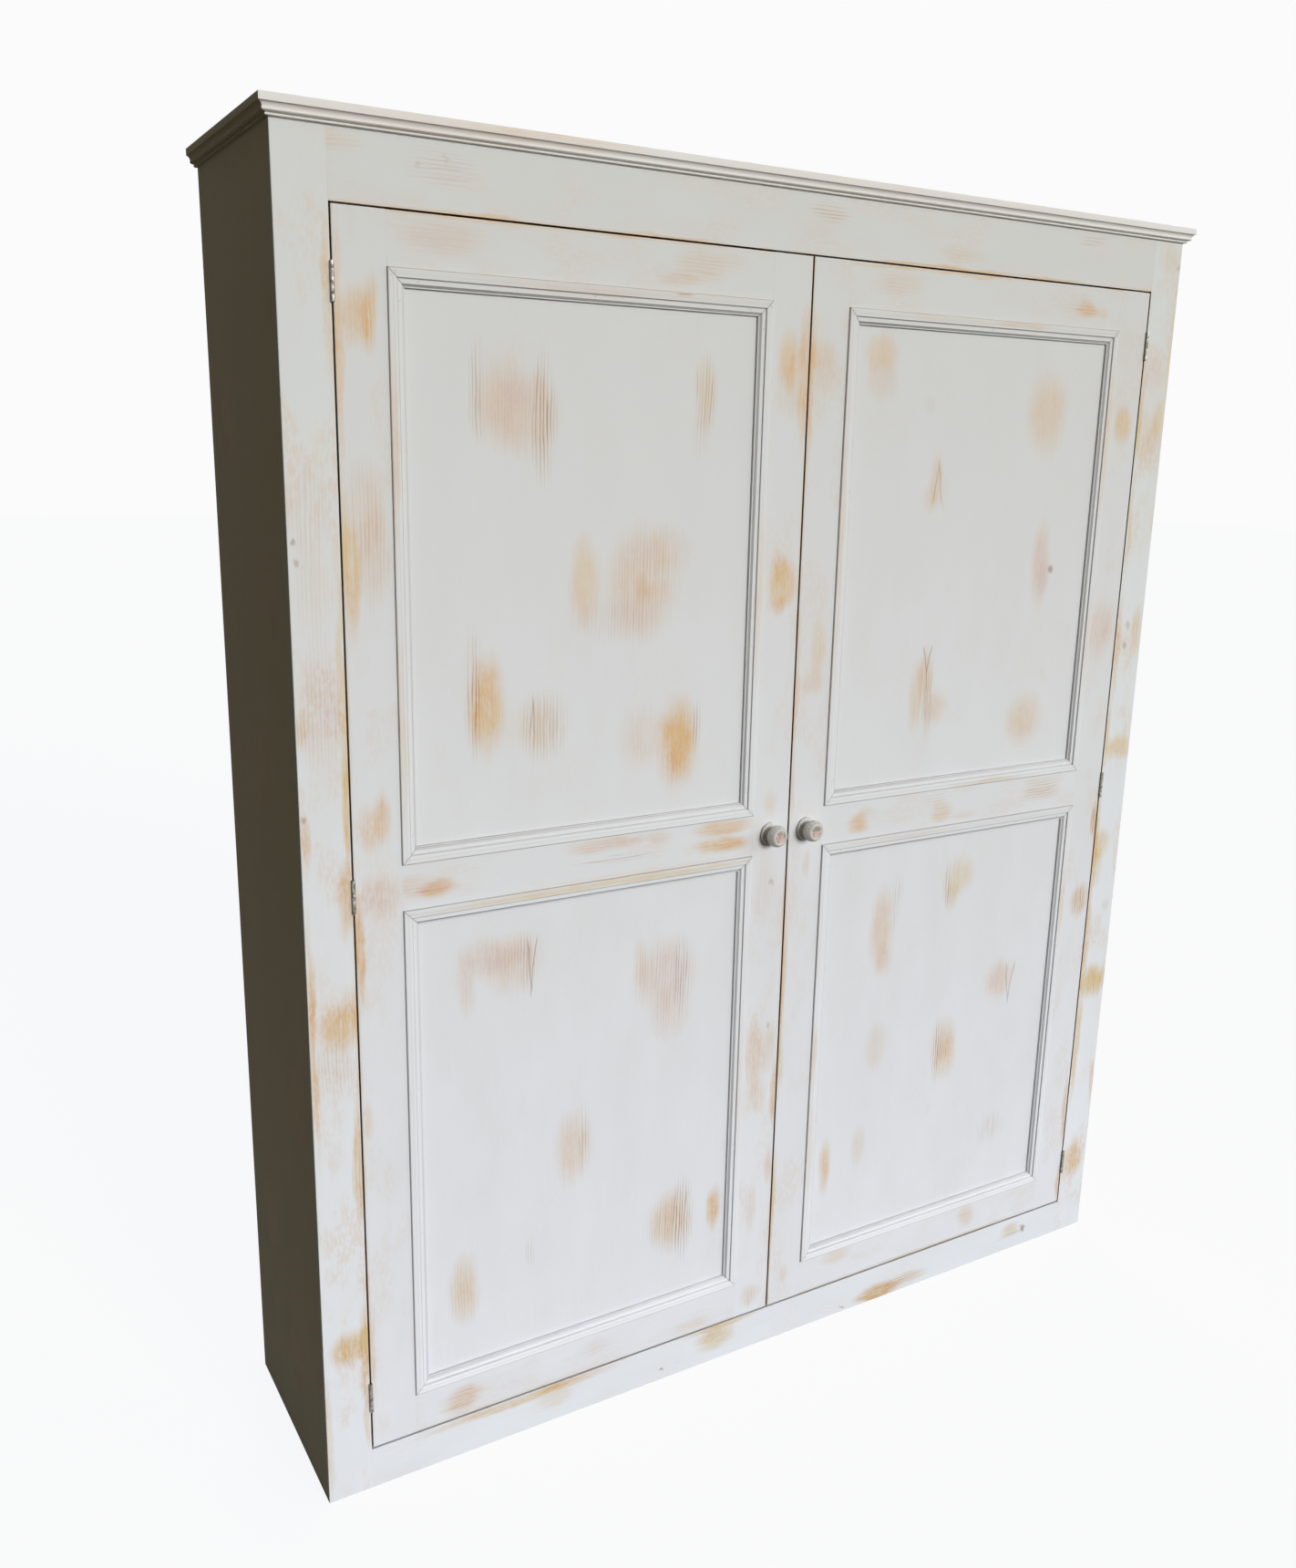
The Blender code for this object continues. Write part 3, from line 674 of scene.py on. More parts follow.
# Where the paint is rubbed through on each board: middle and half sizes in millimetres on its face,
# then in percent how far it is rubbed, its tint (yellow below 0, pink above) and its grain lines
rubbed = {
    "door_left_upper_panel": [
        (-500, 1665, 58, 52, 36, 70, 5), (-520, 1690, 32, 62, 17, 0, 10),
        (-560, 1690, 12, 60, 13, 20, 55), (-458, 1655, 18, 78, 30, 10, 100),
        (-186, 1700, 18, 50, 46, -30, 80), (-195, 1640, 16, 35, 5, 30, 15),
        (-390, 1425, 24, 60, 50, -10, 0), (-292, 1420, 58, 78, 40, 30, 25),
        (-245, 1470, 36, 32, 19, 20, 15), (-290, 1410, 16, 20, 25, 40, 0),
        (-340, 1365, 70, 30, 12, 50, 15), (-570, 1265, 12, 82, 30, 10, 85),
        (-548, 1250, 26, 64, 78, -10, 0), (-458, 1210, 36, 46, 27, 0, 65),
        (-490, 1215, 50, 34, 12, -10, 0), (-220, 1165, 34, 64, 90, -10, 5),
        (-186, 1190, 9, 34, 6, 0, 70), (-285, 1180, 40, 46, 22, 0, 10),
    ],
    "door_left_lower_panel": [
        (-588, 825, 14, 50, 24, 40, 10), (-545, 860, 50, 28, 30, 50, 10),
        (-508, 843, 46, 44, 28, 40, 10), (-488, 840, 16, 45, 12, 30, 50),
        (-232, 775, 52, 58, 33, 50, 25), (-222, 700, 36, 42, 20, 40, 20), (-282, 790, 12, 50, 24, 0, 25),
        (-203, 770, 15, 65, 6, 30, 75), (-402, 500, 30, 58, 36, -30, 10), (-384, 520, 10, 60, 3, 0, 50),
        (-410, 545, 20, 26, 5, 60, 5), (-212, 310, 40, 50, 54, -10, 55), (-188, 310, 18, 74, 11, 0, 90),
        (-122, 310, 13, 38, 76, -10, 10), (-598, 300, 24, 56, 45, -20, 25),
        (-482, 335, 10, 20, 4, 0, 40),
    ],
    "door_right_upper_panel": [
        (148, 1775, 32, 26, 50, 0, 0), (153, 1735, 30, 32, 22, 60, 10), (533, 1690, 44, 64, 44, -10, 10),
        (284, 1572, 13, 42, 42, -20, 5), (273, 1545, 12, 22, 25, 10, 5), (303, 1550, 7, 35, 10, 30, 10),
        (548, 1428, 22, 70, 40, 80, 10), (560, 1395, 14, 34, 16, 80, 10),
        (270, 1200, 16, 56, 33, 30, 20), (290, 1235, 16, 44, 46, -20, 35),
        (315, 1180, 26, 26, 34, 20, 20), (301, 1180, 10, 50, 22, 60, 30),
        (537, 1140, 42, 44, 43, -10, 10), (578, 1220, 10, 14, 3, 0, 35), (258, 1700, 10, 16, 4, 0, 30),
    ],
    "door_right_lower_panel": [
        (408, 848, 34, 34, 46, -70, 5), (392, 815, 18, 26, 30, 0, 30), (379, 838, 8, 40, 6, 0, 100),
        (228, 772, 26, 72, 42, 10, 20), (235, 715, 20, 28, 24, 60, 10), (260, 830, 12, 45, 4, 0, 40),
        (535, 620, 33, 36, 38, 60, 10), (231, 540, 22, 44, 24, 0, 10), (400, 520, 30, 42, 34, 50, 20),
        (405, 482, 26, 44, 34, -20, 10), (420, 490, 16, 45, 6, -50, 0), (384, 500, 10, 66, 7, 0, 85),
        (125, 325, 12, 50, 62, 0, 15), (203, 345, 15, 36, 24, -30, 20), (545, 298, 34, 30, 10, -90, 45),
        (375, 383, 8, 12, 3, 0, 40),
    ],
    "face_stile_left": [
        (-767, 1800, 7, 85, 36, -20, 0), (-798, 1780, 36, 120, -16, -30, 0),
        (-800, 1420, 30, 70, 14, 10, 10), (-805, 1530, 30, 55, 15, 30, 20),
        (-766, 1310, 5, 180, 40, -50, 0), (-766, 1110, 6, 80, 70, -20, 0),
        (-767, 130, 5, 50, 36, -30, 0), (-797, 1260, 32, 85, 20, 40, 20),
        (-824, 1240, 8, 28, 30, -20, 30), (-826, 1080, 7, 35, 40, 0, 20), (-772, 990, 13, 50, 60, 0, 10),
        (-827, 780, 6, 170, 55, -10, 10), (-785, 795, 30, 34, 68, -10, 5),
        (-772, 830, 12, 30, 35, 0, 10), (-800, 735, 30, 40, 12, 0, 25), (-767, 570, 7, 90, 62, -10, 30),
        (-788, 265, 30, 26, 74, -50, 15), (-768, 250, 7, 80, 52, -30, 20),
        (-828, 110, 7, 90, 36, -60, 0),
    ],
    "face_stile_right": [
        (815, 1690, 14, 34, 42, 0, 5), (828, 1780, 6, 150, 24, -90, 0), (790, 1660, 36, 52, 30, -20, 10),
        (790, 1765, 30, 40, 14, 30, 10), (800, 1970, 26, 26, 18, 0, 20),
        (816, 1290, 14, 44, 50, -10, 10), (769, 1250, 8, 90, 42, -30, 0), (768, 1700, 6, 70, 40, -30, 0),
        (768, 1500, 6, 80, 40, 0, 0), (768, 1090, 6, 60, 50, -10, 0), (800, 1063, 36, 24, 60, -50, 5),
        (781, 866, 20, 30, 50, -30, 5), (774, 818, 14, 40, 34, -30, 5), (812, 735, 10, 14, 12, 0, 60),
        (766, 830, 6, 120, 50, 0, 0), (798, 568, 36, 34, 90, -50, 15), (769, 650, 8, 85, 46, -40, 0),
        (768, 430, 8, 110, 62, -60, 0), (826, 330, 6, 50, 40, 10, 10), (792, 165, 32, 40, 52, -40, 5),
    ],
    "face_rail_top": [
        (-770, 1985, 45, 14, 22, 30, 20), (-605, 1965, 45, 22, 10, 60, 30),
        (25, 1975, 34, 13, 22, -30, 60), (0, 1950, 50, 20, 8, 50, 0), (290, 1935, 45, 12, 18, 0, 10),
        (600, 1985, 34, 10, 14, 0, 50), (-560, 1914, 70, 3, 40, -20, 10),
        (-250, 1914, 60, 3, 50, -20, 20), (250, 1914, 160, 3, 62, -10, 30),
        (510, 1914, 80, 3, 46, -10, 20),
    ],
    "face_rail_bottom": [
        (-500, 62, 150, 8, 62, -30, 10), (-440, 45, 34, 24, 26, -10, 5), (-112, 45, 38, 23, 62, -80, 15),
        (-100, 66, 70, 5, 50, -40, 0), (270, 12, 48, 18, 100, -20, 100), (345, 20, 46, 12, 36, 0, 60),
        (625, 45, 26, 13, 46, -80, 20), (618, 31, 36, 4, 30, 0, 100),
    ],
    "door_left_hinge_stile": [
        (-730, 1775, 22, 36, 52, 0, 10), (-711, 1782, 11, 42, 60, 20, 20),
        (-754, 1740, 6, 130, 50, -10, 0), (-725, 1530, 26, 60, 28, 30, 20),
        (-747, 1440, 12, 74, 66, -10, 10), (-755, 1500, 5, 60, 45, -20, 0),
        (-715, 1465, 22, 62, 28, 50, 20), (-715, 1100, 13, 36, 58, 20, 10),
        (-735, 1090, 14, 34, 36, -10, 10), (-720, 985, 34, 30, 34, 40, 10),
        (-754, 910, 6, 75, 68, -10, 10), (-752, 640, 8, 30, 28, 0, 0), (-755, 240, 5, 80, 30, -40, 0),
    ],
    "door_left_meeting_stile": [
        (-40, 1757, 21, 38, 68, 0, 5), (-9, 1730, 10, 95, 54, 10, 10), (-30, 1700, 25, 32, 24, 0, 10),
        (-34, 1410, 27, 36, 72, -10, 5), (-45, 1440, 14, 24, 25, 0, 10), (-40, 1378, 24, 14, 22, 50, 5),
        (-40, 1045, 12, 22, 28, -30, 5), (-45, 900, 22, 60, 14, 60, 15), (-52, 590, 16, 62, 40, 10, 25),
        (-20, 600, 16, 44, 28, 20, 20), (-42, 510, 20, 30, 18, 0, 10), (-10, 365, 8, 32, 34, 70, 0),
        (-6, 500, 6, 60, 56, 0, 0), (-45, 285, 10, 42, 20, 40, 10), (-40, 110, 20, 22, 32, 20, 30),
    ],
    "door_right_meeting_stile": [
        (22, 1765, 32, 20, 36, 10, 5), (30, 1735, 30, 24, 18, 0, 10), (5, 1700, 6, 120, 42, 0, 0),
        (45, 1300, 14, 52, 36, -20, 10), (34, 1245, 30, 20, 22, 50, 5), (5, 1230, 5, 100, 28, 20, 0),
        (5, 1070, 5, 60, 32, 30, 0), (5, 730, 6, 80, 46, 30, 0), (42, 930, 8, 22, 30, 20, 0),
        (6, 580, 6, 90, 30, -20, 0), (6, 300, 5, 80, 38, -60, 0), (36, 128, 9, 18, 20, 10, 0),
    ],
    "door_right_hinge_stile": [
        (722, 1675, 20, 32, 60, -20, 10), (712, 1710, 18, 40, 8, 20, 10),
        (716, 1300, 30, 54, 28, 40, 15), (733, 757, 24, 30, 58, 20, 80), (751, 920, 8, 34, 62, 20, 90),
        (754, 290, 6, 70, 50, 30, 0), (755, 120, 5, 40, 50, 20, 30),
    ],
    "door_left_top_rail": [
        (-603, 1882, 56, 22, 28, 80, 10), (-560, 1907, 70, 2, 12, 0, 0),
        (-208, 1878, 42, 22, 30, 30, 20), (-240, 1858, 34, 10, 26, 30, 20),
        (-155, 1890, 30, 16, 14, 20, 10), (-300, 1907, 80, 2, 18, 0, 10),
    ],
    "door_left_middle_rail": [
        (-633, 986, 23, 14, 66, 20, 10), (-665, 993, 34, 17, 32, 60, 15),
        (-350, 1015, 66, 12, 40, 70, 20), (-340, 990, 70, 5, 8, 20, 60),
        (-255, 1012, 24, 12, 26, 70, 10), (-130, 1014, 56, 12, 62, 20, 10),
        (-138, 986, 52, 13, 78, -20, 10), (-300, 962, 220, 3, 22, -60, 0),
    ],
    "door_left_bottom_rail": [
        (-608, 103, 32, 22, 54, 30, 30), (-500, 78, 160, 3, 18, -20, 0), (-360, 115, 34, 16, 8, 20, 15),
        (-165, 88, 34, 12, 24, 40, 5),
    ],
    "door_right_top_rail": [
        (175, 1884, 40, 20, 24, 0, 15), (250, 1907, 190, 3, 46, -10, 10),
        (602, 1871, 24, 14, 62, 10, 25), (585, 1872, 40, 20, 10, 20, 10), (640, 1868, 16, 8, 25, 20, 5),
    ],
    "door_right_middle_rail": [
        (155, 986, 22, 16, 66, 30, 5), (168, 1005, 20, 10, 20, 40, 10), (342, 985, 28, 17, 40, -10, 25),
        (400, 972, 30, 8, 18, 60, 5), (595, 1000, 42, 22, 26, 30, 45), (330, 1010, 30, 10, 6, 0, 30),
    ],
    "door_right_bottom_rail": [
        (160, 130, 32, 15, 34, -40, 5), (495, 115, 22, 22, 38, -10, 25), (400, 76, 280, 3, 34, -40, 30),
    ],
    "side_left": [
        (20, 1150, 50, 70, 25, 20, 30), (-80, 640, 40, 80, 30, 10, 30), (100, 360, 40, 110, 28, 10, 40),
        (-20, 170, 60, 60, 30, 0, 50), (110, 1650, 35, 70, 25, 30, 20), (-90, 1420, 30, 60, 22, 30, 20),
    ],
    "side_right": [
        (-60, 1600, 40, 70, 35, 0, 20), (90, 1250, 45, 60, 40, 30, 30), (-30, 900, 30, 80, 45, -20, 40),
        (120, 560, 35, 60, 40, 10, 20), (-80, 300, 45, 70, 45, -10, 40), (40, 1800, 50, 40, 25, 30, 10),
    ],
    "top_board": [
        (-400, 20, 80, 50, 25, 20, 30), (300, -50, 90, 40, 30, 0, 30), (650, 100, 60, 40, 25, -20, 20),
    ],
}

# Middle and radius in millimetres, strength in percent
knotPlaces = {
    "face_stile_left": [(-826, 1490, 3.5, 50), (-822, 1464, 4.2, 40), (-829, 1110, 4, 50)],
    "face_stile_right": [(792, 1305, 6, 30), (788, 1268, 5.5, 40), (826, 1955, 4, 30)],
    "face_rail_top": [(-605, 1978, 4, 15), (-642, 1966, 4, 15)],
    "face_rail_bottom": [(660, 35, 6, 70), (-222, 20, 3, 60), (180, 10, 3, 50)],
    "door_right_upper_panel": [(575, 1420, 6, 60)],
    "door_left_meeting_stile": [(-30, 905, 5, 30), (-25, 640, 4, 30)],
}

# Middle and half sizes in millimetres, strength in percent
archPlaces = {
    "door_left_lower_panel": [(-478, 875, 8, -85, 90)],
    "door_left_upper_panel": [(-475, 1200, 3.5, 52, 100), (-559, 1630, 3, 90, 50)],
    "door_right_upper_panel": [(289, 1540, 9.5, 66, 60), (292, 1290, 8.5, -50, 80), (292, 1158, 3, 92, 90)],
    "door_right_lower_panel": [(564, 648, 10, -78, 60)],
}

# How much wood shows faintly through in clouds, by part of a board's name
thinPaint = {
    "face_stile": 0.20,
    "face_rail_bottom": 0.06,
    "face_rail": 0.10,
    "stile": 0.13,
    "rail": 0.10,
    "panel": 0.03,
}

# tones that multiply a board's colour: the left side's is painted shade, browner and darker for the side
# turned from the light; the face stiles and bottom rail are a little lighter and bluer
boardTones = {
    "side_left": (1.00, 0.97, 0.86),
    "face_stile_left": (1.02, 1.03, 1.03),
    "face_stile_right": (1.03, 1.05, 1.05),
    "face_rail_bottom": (1.01, 1.03, 1.03),
}

orders = {
    "side_left": sideGrain,
    "side_right": sideGrain,
    "top_board": topGrain,
}

# wear along the low and high long edge of each board; the same shares turn the narrow faces dark with bare
# wood and painted gap shade
edgeWearAndGapShade = {
    "face_stile_left": (0.0, 0.35),
    "face_stile_right": (0.35, 0.0),
    "face_rail_top": (0.30, 0.0),
    "face_rail_bottom": (0.0, 0.12),
    "door_left_hinge_stile": (0.45, 0.0),
    "door_left_meeting_stile": (0.0, 0.50),
    "door_right_meeting_stile": (0.50, 0.0),
    "door_right_hinge_stile": (0.0, 0.50),
    "door_left_top_rail": (0.0, 0.50),
    "door_right_top_rail": (0.0, 0.50),
    "door_left_bottom_rail": (0.25, 0.0),
    "door_right_bottom_rail": (0.30, 0.0),
}


doorOpening = (0.072, 1.908)  # the wear on the frame's stiles stays beside the doors


def fromRows(rows, lengths=4):
    # the places and sizes of each row from millimetres, the shares after them from percent
    units = [1000] * lengths + [100] * 3
    return [[value / unit for value, unit in zip(row, units)] for row in rows]


def grainOf(node):
    if node in orders:
        return orders[node]
    return railGrain if "rail" in node else uprightGrain


def dressNode(node, material):
    mesh = frame["nodes"][node].data
    mesh.materials.clear()
    mesh.materials.append(material)


def paintBoards():
    for node, rows in rubbed.items():
        name = "paint on " + node.replace("_", " ")
        knots = fromRows(knotPlaces.get(node, ()), 3)
        arches = fromRows(archPlaces.get(node, ()))
        edges = edgeWearAndGapShade.get(node, (0.0, 0.0))
        span = doorOpening if node.startswith("face_stile") else None
        facing = 1 if node in ("side_right", "top_board") else -1
        tone = boardTones.get(node)
        thin = next((share for part, share in thinPaint.items() if part in node), 0.0)
        look = paintedWood(name, grainOf(node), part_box(node), fromRows(rows), knots, arches, edges, span,
                           facing, tone=tone, thin=thin)
        dressNode(node, look)


def dressBareBoards():
    flat = bareWood("pine boards", "pine", topGrain)
    dressNode("bottom_board", flat)
    dressNode("partition", bareWood("pine partition", "pine", sideGrain))
    dressNode("stop_batten", bareWood("pine batten", "pine", railGrain))
    plywood = bareWood("plywood back", "plywood", uprightGrain)
    for hand in hands.values():
        dressNode("back_sheet_" + hand, plywood)
        for number in (1, 2, 3):
            dressNode(f"shelf_{hand}_{number}", flat)


film = {
    "gap": 0.0003,
    "clearance": 0.00002,
    "depth": 0.0008,
    "lap": 0.0004,
    "soft": 0.00006,
}


def fillJoints():
    # the paint film that bridges the joints between rails and stiles on the front
    wholeFront = (Vector((-1.0, 0.0, 0.0)), Vector((1.0, 0.0, 2.0)))
    look = paintedWood("paint in the joints", uprightGrain, wholeFront)
    pairs = []
    for side in hands.values():
        pairs += [("face_stile_" + side, "face_rail_" + place, "carcass") for place in ("bottom", "top")]
        for stile in ("hinge", "meeting"):
            for place in ("bottom", "middle", "top"):
                pairs.append((f"door_{side}_{stile}_stile", f"door_{side}_{place}_rail", side + "_door"))
    for stileNode, railNode, body in pairs:
        stileLow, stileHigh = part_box(stileNode)
        railLow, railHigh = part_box(railNode)
        inward = 1 if (stileLow.x + stileHigh.x) / 2 < (railLow.x + railHigh.x) / 2 else -1
        edge = stileHigh.x if inward > 0 else stileLow.x
        inset = film["clearance"]
        left, right = sorted((edge + inward * inset, edge + inward * (film["gap"] - inset)))
        bottom = max(stileLow.z, railLow.z) + film["lap"]
        top = min(stileHigh.z, railHigh.z) - film["lap"]
        item = addBlock(f"paint_in_joint_{stileNode}_{railNode}", (left, stileLow.y, bottom),
                        (right, stileLow.y + film["depth"], top), film["soft"])
        closeUp(item)
        settle(item, look, body, "painted_pine")


paintBoards()
dressBareBoards()
fillJoints()
print("boards are painted")

moulding = {
    "band": 0.0128,
    "hollow": 0.0072,
    "inner": 0.0047,
    "first step": 0.0025,
    "edge round": 0.0013,
    "ledge soft": 0.0005,
    "bead width": 0.0020,
    "bead height": 0.0042,
    "bead round": 0.0011,
    "seat": 0.0003,
    "mitre gap": 0.00022,
    "mitre edge": 0.00025,
    "pin radius": 0.0008,
    "pin depth": 0.0009,
    "pin from edge": 0.0165,
    "pin from corner": 0.042,
    "pin spacing": 0.230,
    "corner pin from edge": 0.0050,
    "corner pin from corner": 0.0100,
    # painted shade and dirt in the creases: distance in from the outer side, width, strength, and its share
    # on each side, set by how the light falls on that side
    "creases": [
        (0.0002, 0.0014, 0.50),
        (0.0072, 0.0008, 0.14),
        (0.0137, 0.0008, 0.38),
        (0.0226, 0.0007, 0.34),
        (0.0246, 0.0008, 0.45),
    ],
    "crease shade share": {"left": 1.1, "bottom": 1.4, "right": 0.25, "top": 0.9},
    # tone is painted light: lengths made lighter where the light falls on their faces, the lowest length of
    # each lower panel most, as its faces turn up to the light
    "tone": {"left": 1.03, "bottom": 1.05, "right": 1.03, "top": 1.0},
    "lowest tone": 1.14,
    "mitre dirt": 0.5,
}

# Rubbed places along the mouldings, as on the boards
mouldingMarks = {
    "door_left_upper_moulding": [
        (-684, 1600, 8, 120, 34, 30, 0), (-682, 1230, 9, 130, 24, -20, 0),
        (-390, 1832, 130, 8, 22, 70, 0), (-150, 1836, 80, 6, 6, 20, 0),
        (-235, 1837, 14, 4, 45, -30, 100), (-80, 1400, 8, 120, 22, 10, 0),
    ],
    "door_left_lower_moulding": [
        (-350, 951.5, 290, 6, 48, -80, 0), (-80, 560, 10, 120, 12, 10, 0), (-400, 150, 150, 6, 5, 0, 0),
    ],
    "door_right_upper_moulding": [
        (78, 1500, 8, 200, 24, 50, 0), (300, 1836, 120, 6, 16, -30, 0), (450, 1836, 60, 6, 32, 60, 0),
        (683, 1650, 10, 120, 34, -30, 0), (683, 1300, 10, 100, 15, 30, 0),
        (450, 1032, 90, 5, 34, -40, 40),
    ],
    "door_right_lower_moulding": [
        (78, 560, 9, 60, 30, -30, 0), (80, 370, 9, 100, 16, -10, 0), (683, 760, 8, 80, 36, -10, 0),
        (250, 950, 120, 6, 12, 0, 0), (500, 152, 120, 6, 5, 20, 0),
    ],
}


def mouldingProfile(crown):
    # points of distance in from the outer side and height above the panel
    values = moulding
    first = values["band"]
    second = first + values["hollow"]
    third = second + values["inner"]
    middle = crown - values["first step"]
    turn = values["edge round"]
    soft = values["ledge soft"]
    bead = values["bead height"]
    beadTurn = values["bead round"]
    seat = values["seat"]
    points = [(0.0, seat)]
    points += arcPoints((turn, crown - turn), (turn, turn), 180, 90, 5)
    points += arcPoints((first - turn, crown - turn), (turn, turn), 90, 0, 5)
    points += [(first, middle), (second - soft, middle), (second, middle - soft)]
    points += [(third - values["bead width"], bead)]
    points += arcPoints((third - beadTurn, bead - beadTurn), (beadTurn, beadTurn), 90, 0, 5)
    points += [(third, seat)]
    return points


def mouldingLength(name, run, length, quarter):
    # one length cut from the run with a mitre at each end, its pins punched in, then turned
    values = moulding
    gap = values["mitre gap"]
    item = copyPiece(run, name)
    editAll(item)
    sliceOff((0.0, 0.0, gap), (1.0, 0.0, -1.0))
    sliceOff((0.0, 0.0, length - gap), (1.0, 0.0, 1.0))
    pickParts("FACE", lambda face: abs(face.normal.x) > 0.6 and abs(face.normal.z) > 0.6)
    bevelPicked(values["mitre edge"], 1)
    crown = -min(corner.co.y for corner in item.data.vertices)
    middle = crown - values["first step"]
    cornerPin = values["corner pin from corner"]
    spots = [(values["corner pin from edge"], along, crown) for along in (cornerPin, length - cornerPin)]
    start = values["pin from corner"]
    count = round((length - 2 * start) / values["pin spacing"])
    for number in range(count + 1):
        along = start + (length - 2 * start) * number / count
        spots.append((values["pin from edge"], along, middle))
    depth = values["pin depth"]
    holes = [
        addCylinder("pin hole", values["pin radius"], depth * 2, (into, -top, along), alongY, 12)
        for into, along, top in spots
    ]
    shapeWith(item, joinAll(holes), "DIFFERENCE")
    turnPiece(item, -90 * quarter, "Y")
    return item


def makeMouldings():
    nodes = [f"door_{hand}_{place}_moulding" for hand in hands.values() for place in ("lower", "upper")]
    lowest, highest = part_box(nodes[0])
    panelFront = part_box("door_left_lower_panel")[0].y
    crown = panelFront - lowest.y
    longest = max(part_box(node)[1].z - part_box(node)[0].z for node in nodes)
    run = drawOutline("moulding_run", [(into, -up, 0.0) for into, up in mouldingProfile(crown)])
    pushOut((0.0, 0.0, longest))
    bpy.ops.object.mode_set(mode="OBJECT")
    for node in nodes:
        lowest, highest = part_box(node)
        # where each length starts, how long it is and which way its grain runs
        upright = (highest.z - lowest.z, uprightGrain)
        flat = (highest.x - lowest.x, railGrain)
        lengths = {
            "left": (lowest.x, lowest.z, *upright),
            "bottom": (highest.x, lowest.z, *flat),
            "right": (highest.x, highest.z, *upright),
            "top": (lowest.x, highest.z, *flat),
        }
        hand = node.split("_")[1]
        base = node.replace("door_", "")
        marks = fromRows(mouldingMarks[node])
        for quarter, (side, (x, z, length, order)) in enumerate(lengths.items()):
            # each side's share of the crease lines: painted shade, set by how the light falls there
            share = moulding["crease shade share"][side]
            creases = [(place, width, strength * share) for place, width, strength in moulding["creases"]]
            # painted light: each length's tone follows how the light falls on its side
            lowestLength = side == "bottom" and "lower" in node
            tone = moulding["lowest tone"] if lowestLength else moulding["tone"][side]
            look = paintedWood(f"paint on {base} {side}", order, (lowest, highest), marks, edges=(0.1, 0.1),
                               creases=creases, mitre=moulding["mitre dirt"], tone=(tone, tone, tone))
            item = mouldingLength(f"{base}_{side}", run, length, quarter)
            movePiece(item, (x, panelFront, z))
            closeUp(item)
            settle(item, look, hand + "_door", "painted_pine")
            if quarter == 0:
                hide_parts(node)
    removePiece(run)


makeMouldings()
print("panel mouldings are cut, mitred and pinned")

cornice = {
    "fillet": 0.0102,
    "step": 0.0017,
    "cove foot": 0.0066,
    "cove back": 0.0104,
    "band foot": 0.0046,
    "band reach": 0.0090,
    "bead": 0.0029,
    "bead base": 0.0004,
    "bead reach": 0.0054,
    "seat": 0.0003,
    "mitre gap": 0.0002,
    "soft corner": 0.0006,
    "spare": 0.03,
    # front tone is painted light, the front lighter and pinker for its downward-facing profile; return tone
    # is painted shade, the returns darker and browner
    "front tone": (1.19, 1.17, 1.16),
    "return tone": (0.97, 0.91, 0.76),
    # rubbed places as on the boards, but measured up from the cornice's underside
    "marks": [
        (-600, 12, 260, 22, 16, 90, 0), (-450, 20, 140, 8, 16, -40, 10),
        (150, 12, 420, 22, 13, 80, 0), (560, 19, 160, 7, 6, 20, 0),
    ],
}


def corniceProfile(reach, height):
    # points of distance out from the carcass and height above the cornice's underside
    values = cornice
    half = values["bead"] / 2
    ledge = reach - values["step"]
    coveTop = height - values["fillet"]
    soft = values["soft corner"]
    seat = values["seat"]
    beadReach = values["bead reach"]
    coveBack, coveFoot = values["cove back"], values["cove foot"]
    points = [(seat, 0.0), (beadReach - 2 * half, 0.0)]
    points += arcPoints((beadReach - half, values["bead base"] + half), (half, half), -90, 110, 10)
    bandStart = (values["band reach"] - soft, values["band foot"])
    points += bowedPoints(bandStart, (coveBack, coveFoot), -50, 0, 4)
    points += bowedPoints((coveBack - seat, coveFoot + seat), (ledge, coveTop), 188, 148, 12)
    points += [(reach - soft, coveTop), (reach, coveTop + soft)]
    points += arcPoints((reach - soft, height - soft), (soft, soft), 0, 90, 3)
    points += [(seat, height)]
    return points


def makeCornice():
    lowest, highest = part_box("cornice_front")
    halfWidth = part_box("face_stile_right")[1].x
    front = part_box("face_stile_right")[0].y
    base = lowest.z
    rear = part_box("cornice_right")[1].y
    gap = cornice["mitre gap"]
    spare = cornice["spare"]
    profile = corniceProfile(highest.x - halfWidth + gap, highest.z - base)
    marks = fromRows(cornice["marks"])
    for mark in marks:
        mark[1] += base
    # the front's tone is painted light
    frontLook = paintedWood("paint on cornice front", railGrain, (lowest, highest), marks,
                            edges=(0.0, 0.05), tone=cornice["front tone"])
    outline = [(-halfWidth - spare, front - out, base + up) for out, up in profile]
    item = drawOutline("cornice_front_length", outline)
    pushOut((2 * (halfWidth + spare), 0.0, 0.0))
    for hand in hands:
        sliceOff((hand * (halfWidth - gap), front, base), (hand, 1.0, 0.0))
    closeUp(item)
    settle(item, frontLook, "carcass", "painted_pine", "cornice_front")
    for hand, side in hands.items():
        node = "cornice_" + side
        # the returns' tone is painted shade
        look = paintedWood("paint on cornice " + side, returnGrain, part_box(node), edges=(0.1, 0.1),
                           facing=hand, tone=cornice["return tone"])
        outline = [(hand * (halfWidth + out), front - spare, base + up) for out, up in profile]
        item = drawOutline(f"cornice_{side}_return", outline)
        pushOut((0.0, rear - front + spare, 0.0))
        sliceOff((hand * halfWidth, front + gap, base), (-hand, -1.0, 0.0))
        closeUp(item)
        settle(item, look, "carcass", "painted_pine", node)


makeCornice()
print("cornice is mitred round the top")

